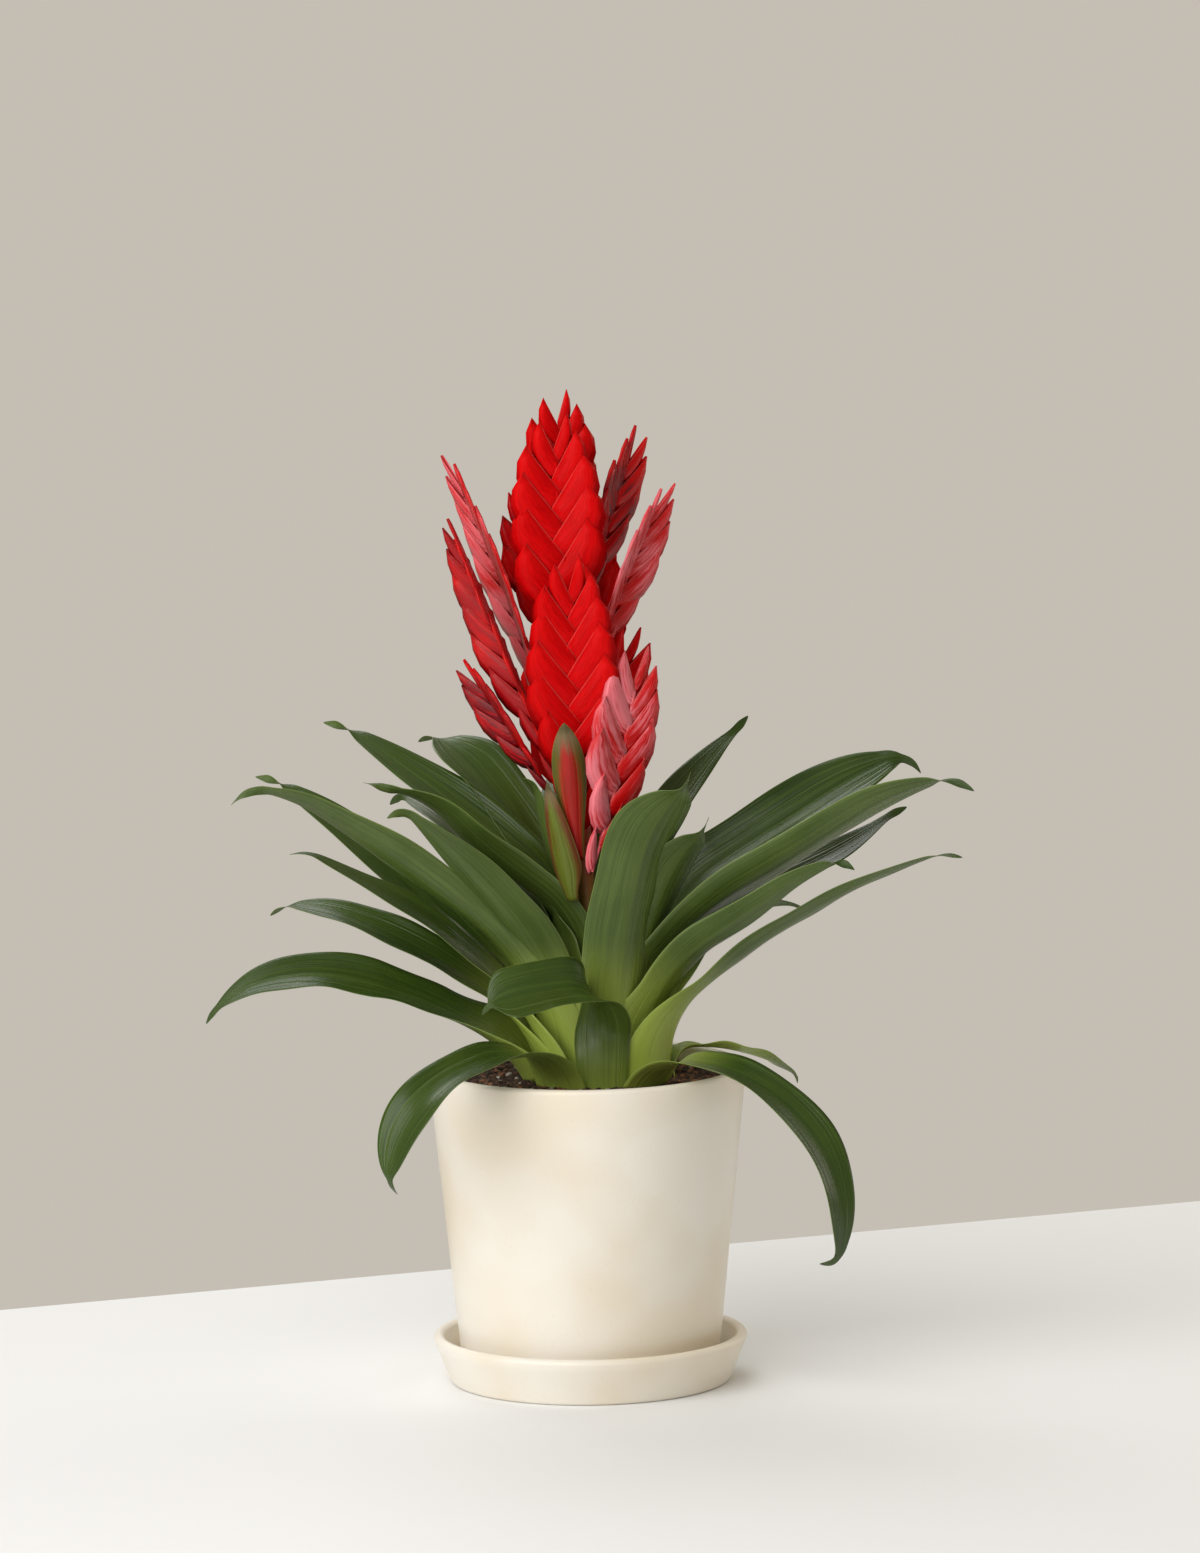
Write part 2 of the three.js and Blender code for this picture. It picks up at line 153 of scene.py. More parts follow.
# A node tree that is built by calls.
class Graph:
    def __init__(self, tree):
        self.tree = tree

    def add(self, kind, settings=None, sockets=None, output=None):
        node = self.tree.nodes.new(kind)
        for key, value in (settings or {}).items():
            if key == "stops":
                self.setStops(node.color_ramp, value)
            else:
                setattr(node, key, value)
        for key, value in (sockets or {}).items():
            if isinstance(value, Wire):
                self.tree.links.new(value.socket, node.inputs[key])
            else:
                node.inputs[key].default_value = value
        if output is not None:
            return Wire(self, node.outputs[output])
        shown = [o for o in node.outputs if o.enabled]
        return Wire(self, shown[0]) if shown else node

    def setStops(self, ramp, stops):
        while len(ramp.elements) > 1:
            ramp.elements.remove(ramp.elements[-1])
        ramp.elements[0].position = stops[0][0]
        ramp.elements[0].color = stops[0][1]
        for place, colour in stops[1:]:
            ramp.elements.new(place).color = colour

    def ramp(self, value, *stops):
        whole = [(place, (*colour, 1)) for place, colour in stops]
        return self.add("ShaderNodeValToRGB", {"stops": whole}, {"Fac": value})

    def fade(self, value, low, high, start=0.0, end=1.0):
        settings = {"interpolation_type": "SMOOTHSTEP"}
        return self.add("ShaderNodeMapRange", settings, {
            "Value": value, "From Min": low, "From Max": high, "To Min": start, "To Max": end})

    def blend(self, factor, first, second):
        first, second = [(*c, 1) if isinstance(c, tuple) else c for c in (first, second)]
        return self.add("ShaderNodeMix", {"data_type": "RGBA"}, {0: factor, 6: first, 7: second}, 2)

    def vector(self, operation, first, second):
        return self.add("ShaderNodeVectorMath", {"operation": operation}, {0: first, 1: second})

    def join(self, x, y, z=0.0):
        return self.add("ShaderNodeCombineXYZ", None, {"X": x, "Y": y, "Z": z})

    # gives X, from which other() gives Y and Z
    def split(self, vector):
        return self.add("ShaderNodeSeparateXYZ", None, {"Vector": vector})

    def place(self):
        return self.add("ShaderNodeTexCoord", output="Object")

    def sheet(self, name):
        return self.split(self.add("ShaderNodeUVMap", {"uv_map": name}))

    def stored(self, name, output="Fac"):
        return self.add("ShaderNodeAttribute", {"attribute_name": name}, output=output)

    def draw(self, index, seed, low=0.0, high=1.0):
        sockets = {2: low, 3: high, "ID": index, "Seed": seed}
        return self.add("FunctionNodeRandomValue", {"data_type": "FLOAT"}, sockets, output=1)

    def store(self, copies, name, value):
        return self.add("GeometryNodeStoreNamedAttribute", {"data_type": "FLOAT", "domain": "INSTANCE"}, {
            "Geometry": copies, "Name": name, "Value": value})

    def noise(self, place, scale, detail=3.0, rough=0.5):
        return self.add("ShaderNodeTexNoise", None, {
            "Vector": place, "Scale": scale, "Detail": detail, "Roughness": rough})

    def bump(self, height, strength, distance):
        return self.add("ShaderNodeBump", None, {
            "Height": height, "Strength": strength, "Distance": distance})


# Base, roughness and normal are functions that draw on a graph. The numbers are set on the shader.
def newMaterial(name, base, roughness, normal=None, **numbers):
    material = bpy.data.materials.new(name)
    material.use_nodes = True
    tree = material.node_tree
    shader = tree.nodes["Principled BSDF"]
    graph = Graph(tree)
    tree.links.new(base(graph).socket, shader.inputs["Base Color"])
    tree.links.new(roughness(graph).socket, shader.inputs["Roughness"])
    if normal is not None:
        tree.links.new(normal(graph).socket, shader.inputs["Normal"])
    for key, value in numbers.items():
        shader.inputs[key].default_value = value
    return material


# Opens a geometry node group: its graph, its named inputs as wires, and their identifiers.
def openNodes(name, inputs):
    tree = bpy.data.node_groups.new(name, "GeometryNodeTree")
    g = Graph(tree)
    ports = {}
    for label, kind, value in inputs:
        port = tree.interface.new_socket(name=label, in_out="INPUT", socket_type="NodeSocket" + kind)
        if value is not None:
            port.default_value = value
        ports[label] = port.identifier
    tree.interface.new_socket(name="Geometry", in_out="OUTPUT", socket_type="NodeSocketGeometry")
    given = tree.nodes.new("NodeGroupInput")
    return g, {label: Wire(g, given.outputs[label]) for label in ports}, ports


# Ends a geometry node group: joins its parts, makes them real and gives them their material.
def closeNodes(g, parts, skin):
    joined = g.add("GeometryNodeJoinGeometry")
    for part in parts:
        g.tree.links.new(part.socket, joined.socket.node.inputs[0])
    whole = g.add("GeometryNodeRealizeInstances", None, {"Geometry": joined})
    whole = g.add("GeometryNodeSetMaterial", None, {"Geometry": whole, "Material": skin})
    out = g.tree.nodes.new("NodeGroupOutput")
    g.tree.links.new(whole.socket, out.inputs["Geometry"])


camera = {
    "place": (8.5, -4500, 909),
    "aim": (8.5, 0, 306),
    "lens": 210.5,
    "sensor": 36,
    "lean": -0.75,       # turn about the line of sight
    "nearest": 100,
    "farthest": 50000,
}


def makeCamera():
    data = bpy.data.cameras.new("viewCamera")
    data.lens = camera["lens"]
    data.sensor_width = camera["sensor"]
    data.clip_start = camera["nearest"] * mm
    data.clip_end = camera["farthest"] * mm
    viewer = bpy.data.objects.new("viewCamera", data)
    bpy.context.scene.collection.objects.link(viewer)
    place, aim = Vector(camera["place"]) * mm, Vector(camera["aim"]) * mm
    turn = (aim - place).to_track_quat("-Z", "Y").to_matrix().to_4x4()
    lean = Matrix.Rotation(math.radians(camera["lean"]), 4, "Z")
    viewer.matrix_world = Matrix.Translation(place) @ turn @ lean
    bpy.context.scene.camera = viewer


makeCamera()

studio = {
    "table": (0.845, 0.855, 0.865),
    "wall": (0.555, 0.515, 0.455),      # the plain background that the camera sees
    "air": (0.30, 0.27, 0.225),         # the light of the room
    "edgeMiddle": (0, 331),             # a point of the table's far edge
    "edgeTurn": 22.8,
    "tableReach": 6000,
    "keyPlace": (-1380, -1820, 1800),
    "keySize": 3000,
    "keyPower": 87,
    "keyColour": (1, 0.995, 0.985),
    "rimPlace": (1900, 1500, 900),
    "rimSize": 1500,
    "rimPower": 12,
    "rimColour": (1, 0.93, 0.8),
    "topPlace": (-500, 1500, 2100),
    "topSize": 1500,
    "topPower": 22,
    "topColour": (1, 1, 1),
    "lightsAim": (0, 0, 250),
}


def makeLight(part):
    data = bpy.data.lights.new(part + "Light", "AREA")
    data.shape = "SQUARE"
    data.size = studio[part + "Size"] * mm
    data.energy = studio[part + "Power"]
    data.color = studio[part + "Colour"]
    lamp = bpy.data.objects.new(part + "Light", data)
    bpy.context.scene.collection.objects.link(lamp)
    place = Vector(studio[part + "Place"]) * mm
    lamp.location = place
    lamp.rotation_mode = "QUATERNION"
    lamp.rotation_quaternion = (Vector(studio["lightsAim"]) * mm - place).to_track_quat("-Z", "Y")


def makeRoom():
    world = bpy.data.worlds.new("studioAir")
    world.use_nodes = True
    tree = world.node_tree
    tree.nodes["Background"].inputs["Color"].default_value = (*studio["air"], 1)
    g = Graph(tree)
    wall = g.add("ShaderNodeBackground", None, {"Color": (*studio["wall"], 1)})
    seen = g.add("ShaderNodeLightPath", output="Is Camera Ray")
    air = Wire(g, tree.nodes["Background"].outputs[0])
    shown = g.add("ShaderNodeMixShader", None, {0: seen, 1: air, 2: wall})
    tree.links.new(shown.socket, tree.nodes["World Output"].inputs["Surface"])
    bpy.context.scene.world = world
    bpy.context.scene.view_settings.view_transform = "Standard"


def makeTable():
    def base(g):
        return g.blend(g.noise(g.place(), 3.0), studio["table"], tuple(c * 0.985 for c in studio["table"]))

    def rough(g):
        return g.noise(g.place(), 40.0) * 0.1 + 0.75

    reach = studio["tableReach"] * mm
    turn = Matrix.Rotation(math.radians(studio["edgeTurn"]), 4, "Z")
    middle = Matrix.Translation(Vector((*studio["edgeMiddle"], 0)) * mm)
    corners = [middle @ turn @ Vector(c) for c in
               [(-reach, -reach, 0), (reach, -reach, 0), (reach, 0, 0), (-reach, 0, 0)]]
    table = solidFrom("tableTop", corners, [(0, 1, 2, 3)])
    table.data.materials.append(newMaterial("paleTable", base, rough))


makeRoom()
makeTable()
for part in ("key", "rim", "top"):
    makeLight(part)
print("camera and stage made")


# radii, heights and thicknesses of the pot and its saucer
pottery = {
    "saucerFoot": 71, "saucerRim": 79, "saucerHeight": 24.5, "saucerFloor": 5, "saucerWall": 5.5,
    "potFoot": 64.5, "potMouth": 79.8, "potHeight": 155, "potWall": 5, "potFloor": 5,
    "lip": 2.4, "drain": 8, "gap": 0.3,
    "potHeel": 2, "saucerHeel": 2.5, "inCorner": 3,      # how far the corners are rounded
    "turns": 160,
    "cream": (0.86, 0.815, 0.735),
    "creamDeep": (0.80, 0.72, 0.58),
    "speck": (0.45, 0.38, 0.27),
}
potBase = pottery["saucerFloor"] + pottery["gap"]
potTop = potBase + pottery["potHeight"]


def arc(x, y, radius, start, end, steps):
    turn = np.radians(np.linspace(start, end, steps + 1))
    return [(x + radius * math.cos(t), y + radius * math.sin(t)) for t in turn]


def straight(start, end, steps):
    return [(mix(start[0], end[0], k / steps), mix(start[1], end[1], k / steps)) for k in range(1, steps)]


# Turns an anticlockwise profile in millimetres about Z. Points on the axis become one point.
def turnedPiece(name, profile, turns):
    angle = np.linspace(0, 2 * math.pi, turns, endpoint=False)
    points, rows = [], []
    for r, z in profile:
        if r < 1e-6:
            rows.append([len(points)] * turns)
            points.append((0, 0, z * mm))
        else:
            rows.append(list(range(len(points), len(points) + turns)))
            points += [(r * math.cos(a) * mm, r * math.sin(a) * mm, z * mm) for a in angle]
    faces = []
    closing = profile[0][0] > 1e-6
    for i in range(len(profile) if closing else len(profile) - 1):
        low, high = rows[i], rows[(i + 1) % len(profile)]
        for j in range(turns):
            k = (j + 1) % turns
            ring = [low[j], low[k], high[k], high[j]]
            face = [v for n, v in enumerate(ring) if v != ring[n - 1]]
            faces.append(tuple(face))
    return solidFrom(name, points, faces)


def potInside(z):
    p = pottery
    return mix(p["potFoot"], p["potMouth"], (z - potBase) / p["potHeight"]) - p["potWall"]


def makePot(glaze):
    p = pottery
    lip = p["lip"]
    outer = arc(p["potMouth"] - lip, potTop - lip, lip, 0, 90, 6)
    inner = arc(p["potMouth"] - p["potWall"] + lip, potTop - lip, lip, 90, 180, 6)
    heel = arc(p["potFoot"] - p["potHeel"], potBase + p["potHeel"], p["potHeel"], -90, 0, 5)
    floor = potBase + p["potFloor"]
    low = (potInside(floor + p["inCorner"]), floor + p["inCorner"])
    toe = (potInside(floor) - p["inCorner"], floor)
    profile = [(p["drain"], potBase), *straight((p["drain"], potBase), heel[0], 4), *heel,
               *straight(heel[-1], outer[0], 12), *outer, *inner,
               *straight(inner[-1], low, 10), low, toe,
               *straight(toe, (p["drain"], toe[1]), 4), (p["drain"], toe[1])]
    pot = turnedPiece("potBody", profile, p["turns"])
    standFor(pot, "pot", glaze)


def makeSaucer(glaze):
    p = pottery
    lip = p["saucerWall"] / 2
    heel = arc(p["saucerFoot"] - p["saucerHeel"], p["saucerHeel"], p["saucerHeel"], -90, -20, 5)
    rim = arc(p["saucerRim"] - lip, p["saucerHeight"] - lip, lip, 0, 180, 12)
    inside = p["saucerFoot"] - p["saucerWall"]
    low = (inside + p["inCorner"] / 2, p["saucerFloor"] + p["inCorner"])
    toe = (inside - p["inCorner"] / 2, p["saucerFloor"])
    profile = [(0, 0), *straight((0, 0), heel[0], 5), *heel, *straight(heel[-1], rim[0], 5), *rim,
               *straight(rim[-1], low, 4), low, toe, *straight(toe, (0, toe[1]), 5), (0, toe[1])]
    saucer = turnedPiece("saucerDish", profile, p["turns"])
    standFor(saucer, "saucer", glaze)


def makeGlaze():
    def base(g):
        place = g.place()
        cloud = g.noise(place, 14.0, 2.0)
        body = g.blend(g.fade(cloud, 0.35, 0.7), pottery["cream"], pottery["creamDeep"])
        speck = g.fade(g.noise(place, 900.0, 1.0), 0.68, 0.74)
        return g.blend(speck * 0.12, body, pottery["speck"])

    def rough(g):
        return g.noise(g.place(), 60.0, 3.0) * 0.12 + 0.36

    def skin(g):
        place = g.place()
        peel = g.noise(place, 160.0, 2.0) * 0.4 + g.noise(place, 22.0, 2.0)
        return g.bump(peel, 0.12, 0.0008)

    return newMaterial("creamGlaze", base, rough, skin, **{
        "IOR": 1.5, "Coat Weight": 0.12, "Coat Roughness": 0.2})


creamGlaze = makeGlaze()
makePot(creamGlaze)
makeSaucer(creamGlaze)
print("pot and saucer made")


plantFoot = (6.5, 0, 154.3)      # where the rosette leaves the potting mix

blade = {
    "buried": 2,
    "rows": 90,
    "columns": 15,
    "thickness": 0.75,
    "edge": 0.3,
    "camber": 24,           # radius of the channel across a blade
    "endCamber": 40,
    "sheath": 2.35,         # sheath width, as a share of its ring
    "widestSheath": 74,
    "sheathShare": 0.3,     # of the leaf's length
    "narrowing": (2.3, 0.85),   # powers that shape the taper
    "tail": 4.6,            # width of the drawn-out tip
    "tailShare": 0.075,
    "pointShare": 0.03,
    "narrowest": 0.25,
    "rowPower": 1.25,       # sets the rows closer together at the tip
    "channelShare": 0.35,   # where the sheath has become a channel
    "flatShare": (0.6, 0.95),   # where the channel flattens
    "waves": (3.0, 5.0),
    "ripple": 0.7,
    "rib": 0.5,
    "ribSpread": 3,
    "seed": 31,
}

# ring is a leaf's distance from the middle of the rosette. Its width is full up to taper. Heading,
# rise and roll are evenly spaced along it. Curl and twist turn its tip. Sheath sets its width at the
# foot, and aged takes that length off the pale part.
leaves = [
    {"node": "leaf_left_droop", "ring": 39, "length": 160, "width": 30, "taper": 0.7,
     "heading": [-122, -140, -148], "rise": [67, 5, -15, -48, -94], "roll": [0, -10, -15],
     "curl": 40, "twist": 20, "sheath": 30, "aged": 30},
    {"node": "leaf_right_droop", "ring": 39, "length": 195, "width": 27, "taper": 0.6,
     "heading": [-52, -38, -32, -30], "rise": [55, 0, -20, -47, -80, -110], "roll": [0, 10, 10],
     "curl": 70, "twist": 40, "sheath": 30, "aged": 18},
    {"node": "leaf_right_back_droop", "ring": 38, "length": 84, "width": 16, "taper": 0.55,
     "heading": [16, 20], "rise": [105, 0, -14, -24, -45], "roll": [0, -15, -15],
     "curl": 40, "twist": 20, "sheath": 30},
    {"node": "leaf_front_folded", "ring": 36, "length": 120, "width": 30, "taper": 0.84,
     "heading": [-88, -90, -120, -152, -160, -165], "rise": [82, 100, 52, 0, -10, -25],
     "roll": [0, 0, -40, -50, -40], "curl": 30, "twist": 20, "sheath": 25, "aged": 50},
    {"node": "leaf_left_low", "ring": 38, "length": 186, "width": 29, "taper": 0.5,
     "heading": [178, 192], "rise": [66, 31, 22, 11, -14, -51], "roll": [0, -35, -35],
     "curl": 10, "twist": 10, "aged": 30},
    {"node": "leaf_left_second", "ring": 34.5, "length": 183, "width": 25, "taper": 0.35,
     "heading": [186, 184], "rise": [109, 49, 40, 30, 30], "roll": [0, -25, -20],
     "curl": 40, "twist": 20},
    {"node": "leaf_left_third", "ring": 31, "length": 177, "width": 25, "taper": 0.6,
     "heading": [170, 166], "rise": [91, 38, 28, 20, -10], "roll": [0, -25, -20],
     "curl": 30, "twist": 60},
    {"node": "leaf_left_long", "ring": 29, "length": 244, "width": 30, "taper": 0.42,
     "heading": [196, 198, 190], "rise": [101, 64, 41, 37, 32, -4], "roll": [0, 35, 30],
     "curl": 40, "twist": 150},
    {"node": "leaf_left_behind", "ring": 26.5, "length": 225, "width": 29, "taper": 0.5,
     "heading": [162, 156], "rise": [87, 43, 41, 36, 24], "roll": [0, -25, -25],
     "curl": 20, "twist": 160},
    {"node": "leaf_left_front", "ring": 26, "length": 190, "width": 31, "taper": 0.36,
     "heading": [216, 210], "rise": [107, 69, 49, 45, 34], "roll": [0, 30, 25],
     "curl": 60, "twist": 120},
    {"node": "leaf_left_tall", "ring": 22, "length": 211, "width": 33, "taper": 0.42,
     "heading": [198, 188], "rise": [111, 92, 37, 49, -6], "roll": [0, 30, 25],
     "curl": -20, "twist": 160},
    {"node": "leaf_left_upper", "ring": 19, "length": 251, "width": 31, "taper": 0.5,
     "heading": [158, 148], "rise": [104, 82, 36, 30, 24], "roll": [0, -20, -25],
     "curl": 20, "twist": 150},
    {"node": "leaf_back_left_tall", "ring": 16, "length": 217, "width": 38, "taper": 0.8,
     "heading": [130, 140], "rise": [91, 80, 53, 42, 13], "roll": [0, -10, -10],
     "curl": 40, "twist": 60},
    {"node": "leaf_left_inner", "ring": 11.5, "length": 160, "width": 22, "taper": 0.75,
     "heading": [184, 200], "rise": [92, 90, 69, 90], "roll": [0, 10], "curl": 60, "twist": 20},
    {"node": "leaf_centre_short", "ring": 13, "length": 92, "width": 26, "taper": 0.65,
     "heading": [205, 200], "rise": [86, 86, 84, 70], "roll": [0, 10], "curl": 20, "twist": 20},
    {"node": "leaf_right_tall", "ring": 15, "length": 212, "width": 22, "taper": 0.5,
     "heading": [58, 40], "rise": [86, 78, 43, 27], "roll": [0, 25, 30], "curl": -10, "twist": 40},
    {"node": "leaf_front_broad", "ring": 21, "length": 183, "width": 40, "taper": 0.75,
     "heading": [-72, -42], "rise": [86, 76, 66, 26], "roll": [0, -10, -25], "curl": -40, "twist": 60},
    {"node": "leaf_front_right", "ring": 18, "length": 151, "width": 34, "taper": 0.7,
     "heading": [-42, -32], "rise": [83, 79, 66, 34], "roll": [0, -15, -25], "curl": -30, "twist": 60},
    {"node": "leaf_right_upper", "ring": 24, "length": 250, "width": 34, "taper": 0.72,
     "heading": [14, 22], "rise": [113, 69, 29, 28, 14], "roll": [0, 35, 35], "curl": 70, "twist": 120},
    {"node": "leaf_right_long", "ring": 28, "length": 263, "width": 30, "taper": 0.6,
     "heading": [-22, -15], "rise": [125, 50, 31, 34, 3], "roll": [0, -35, -35],
     "curl": 35, "twist": 130},
    {"node": "leaf_right_behind", "ring": 32, "length": 218, "width": 22, "taper": 0.55,
     "heading": [25, 29], "rise": [124, 51, 22, 20, 37], "roll": [0, 20, 25], "curl": 20, "twist": 40},
    {"node": "leaf_right_curled", "ring": 31.5, "length": 179, "width": 25, "taper": 0.15,
     "heading": [-32, -15], "rise": [115, 62, 33, 36, 14], "roll": [0, -40, -55],
     "curl": 50, "twist": 170},
    {"node": "leaf_right_arched", "ring": 29, "length": 138, "width": 16, "taper": 0.4,
     "heading": [3, 14], "rise": [118, 55, 58, 24, -32], "roll": [0, 15, 15], "curl": 20, "twist": 20},
    {"node": "leaf_right_low", "ring": 36, "length": 204, "width": 21, "taper": 0.3,
     "heading": [-14, -5], "rise": [101, 42, 33, 26, 12], "roll": [0, -25, -25], "curl": 25, "twist": 60},
    {"node": "leaf_back_low", "ring": 37, "length": 170, "width": 34, "taper": 0.55,
     "heading": [96, 98], "rise": [72, 35, 10, -25, -45], "roll": [0, 10], "curl": 50, "twist": 60},
    {"node": "leaf_back_right_low", "ring": 35, "length": 185, "width": 34, "taper": 0.55,
     "heading": [72, 68], "rise": [82, 50, 28, 0, -30], "roll": [0, 10], "curl": 40, "twist": 120},
    {"node": "leaf_back_left_low", "ring": 33, "length": 190, "width": 34, "taper": 0.55,
     "heading": [118, 114], "rise": [84, 54, 32, 8, -22], "roll": [0, -10], "curl": 50, "twist": -120},
    {"node": "leaf_back_right", "ring": 27, "length": 178, "width": 34, "taper": 0.55,
     "heading": [48, 46], "rise": [90, 62, 44, 26, 0], "roll": [0, 10], "curl": 30, "twist": 140},
    {"node": "leaf_back_left", "ring": 23, "length": 205, "width": 34, "taper": 0.55,
     "heading": [136, 132], "rise": [90, 66, 44, 26, 0], "roll": [0, -10], "curl": 40, "twist": -120},
    {"node": "leaf_back_right_tall", "ring": 20, "length": 165, "width": 34, "taper": 0.55,
     "heading": [78, 72], "rise": [90, 76, 56, 34, 5], "roll": [0, 10], "curl": 60, "twist": 140},
    {"node": "leaf_back_tall", "ring": 17, "length": 185, "width": 34, "taper": 0.55,
     "heading": [106, 102], "rise": [90, 82, 64, 40, 10], "roll": [0, -10], "curl": 50, "twist": -140},
    {"node": "leaf_back_inner", "ring": 11, "length": 135, "width": 26, "taper": 0.65,
     "heading": [85, 85], "rise": [86, 86, 80, 55], "roll": [0, 0], "curl": 20, "twist": 30},
]


# Centre line of a leaf: places, side vectors and facing vectors at each of s.
def leafLine(leaf, s):
    steps = 600
    fine = np.linspace(0, 1, steps + 1)
    tail = smooth(fine, 1 - blade["tailShare"] * 1.3, 1)
    heading = np.radians(along(leaf["heading"], fine))
    rise = np.radians(along(leaf["rise"], fine) - leaf["curl"] * tail)
    roll = np.radians(along(leaf["roll"], fine) + leaf["twist"] * tail)
    forward = np.stack([np.cos(rise) * np.cos(heading), np.cos(rise) * np.sin(heading), np.sin(rise)], 1)
    left = np.stack([-np.sin(heading), np.cos(heading), np.zeros_like(heading)], 1)
    face = np.cross(forward, left)
    side = left * np.cos(roll)[:, None] + face * np.sin(roll)[:, None]
    normal = face * np.cos(roll)[:, None] - left * np.sin(roll)[:, None]
    start = np.array(plantFoot) - [0, 0, blade["buried"]]
    start = start + leaf["ring"] * np.array([math.cos(heading[0]), math.sin(heading[0]), 0])
    places = start + np.concatenate([[[0, 0, 0]], np.cumsum(forward[:-1], 0)]) * leaf["length"] / steps
    return [np.stack([np.interp(s, fine, values[:, i]) for i in range(3)], 1)
            for values in (places, side, normal)]


def leafWidth(leaf, s):
    sheath = leaf.get("sheath", min(leaf["ring"] * blade["sheath"], blade["widestSheath"]))
    body = mix(sheath, leaf["width"], smooth(s, 0.0, blade["sheathShare"]))
    end = np.clip((s - leaf["taper"]) / (1 - blade["tailShare"] * 0.7 - leaf["taper"]), 0, 1)
    late, blunt = blade["narrowing"]
    body = body * (1 - end ** late) ** blunt
    tail = blade["tail"] * np.clip((1 - s) / blade["pointShare"], 0, 1) ** 0.6
    return np.maximum(np.hypot(body, tail * 0.9), blade["narrowest"])


def makeLeaf(leaf, material, dice):
    rows, columns = blade["rows"], blade["columns"]
    s = 1 - (1 - np.linspace(0, 1, rows)) ** blade["rowPower"]
    u = np.linspace(-1, 1, columns)
    centre, side, normal = leafLine(leaf, s)
    width = leafWidth(leaf, s)
    bend = smooth(s, 0, blade["channelShare"])
    flatter = smooth(s, *blade["flatShare"])
    bow = mix(1 / leaf["ring"], 1 / blade["camber"], bend)
    bow = mix(bow, 1 / blade["endCamber"], flatter)[:, None]
    reach = width[:, None] / 2 * u[None, :]
    across = np.sin(bow * reach) / bow
    lift = (1 - np.cos(bow * reach)) / bow
    wide = (width / leaf["width"])[:, None]
    lift = lift - blade["rib"] * bend[:, None] * wide * np.exp(-(reach / blade["ribSpread"]) ** 2)
    phase, phaseB = dice.uniform(0, 6.3), dice.uniform(0, 6.3)
    waves = dice.uniform(*blade["waves"])
    turn = 2 * math.pi * waves * s
    wave = np.sin(turn + phase)[:, None] * np.clip(u, 0, 1)[None, :] ** 2
    wave = wave + np.sin(turn * 0.83 + phaseB)[:, None] * np.clip(-u, 0, 1)[None, :] ** 2
    lift = lift + blade["ripple"] * wave * bend[:, None] * wide
    half = mix(blade["thickness"], blade["edge"], u[None, :] ** 2) / 2
    half = half * np.clip(width[:, None] / 8, 0.35, 1)
    flat = centre[:, None] + side[:, None] * across[..., None]
    upper = flat + normal[:, None] * (lift + half)[..., None]
    lower = flat + normal[:, None] * (lift - half)[..., None]
    points, faces = closedSheet(upper[:, ::-1] * mm, lower[:, ::-1] * mm)
    grid = np.stack(np.broadcast_arrays(0.5 - u[None, :] / 2, s[:, None]), 2)[:, ::-1].reshape(-1, 2)
    piece = solidFrom(camel(leaf["node"]), points, faces, np.concatenate([grid, grid]))
    count = rows * columns
    tone = dice.uniform(0, 1)
    fromBase = np.repeat((s * leaf["length"] + leaf.get("aged", 0)) * mm, columns)
    upperFace = np.repeat([1.0, 0.0], count)
    addNumbers(piece, "grown", np.stack([np.tile(fromBase, 2), np.full(2 * count, tone), upperFace], 1))
    standFor(piece, leaf["node"], material)


leafLook = {
    "top": (0.020, 0.043, 0.005),
    "topLight": (0.05, 0.09, 0.011),
    "under": (0.05, 0.084, 0.012),
    "underLight": (0.10, 0.15, 0.028),
    "sheath": (0.42, 0.53, 0.09),
    "margin": (0.30, 0.38, 0.12),
    "paleUpTo": 18,          # from the foot
    "greenFrom": 82,
    "creasePlace": 0.2,      # from the midrib, as a share of the width
}


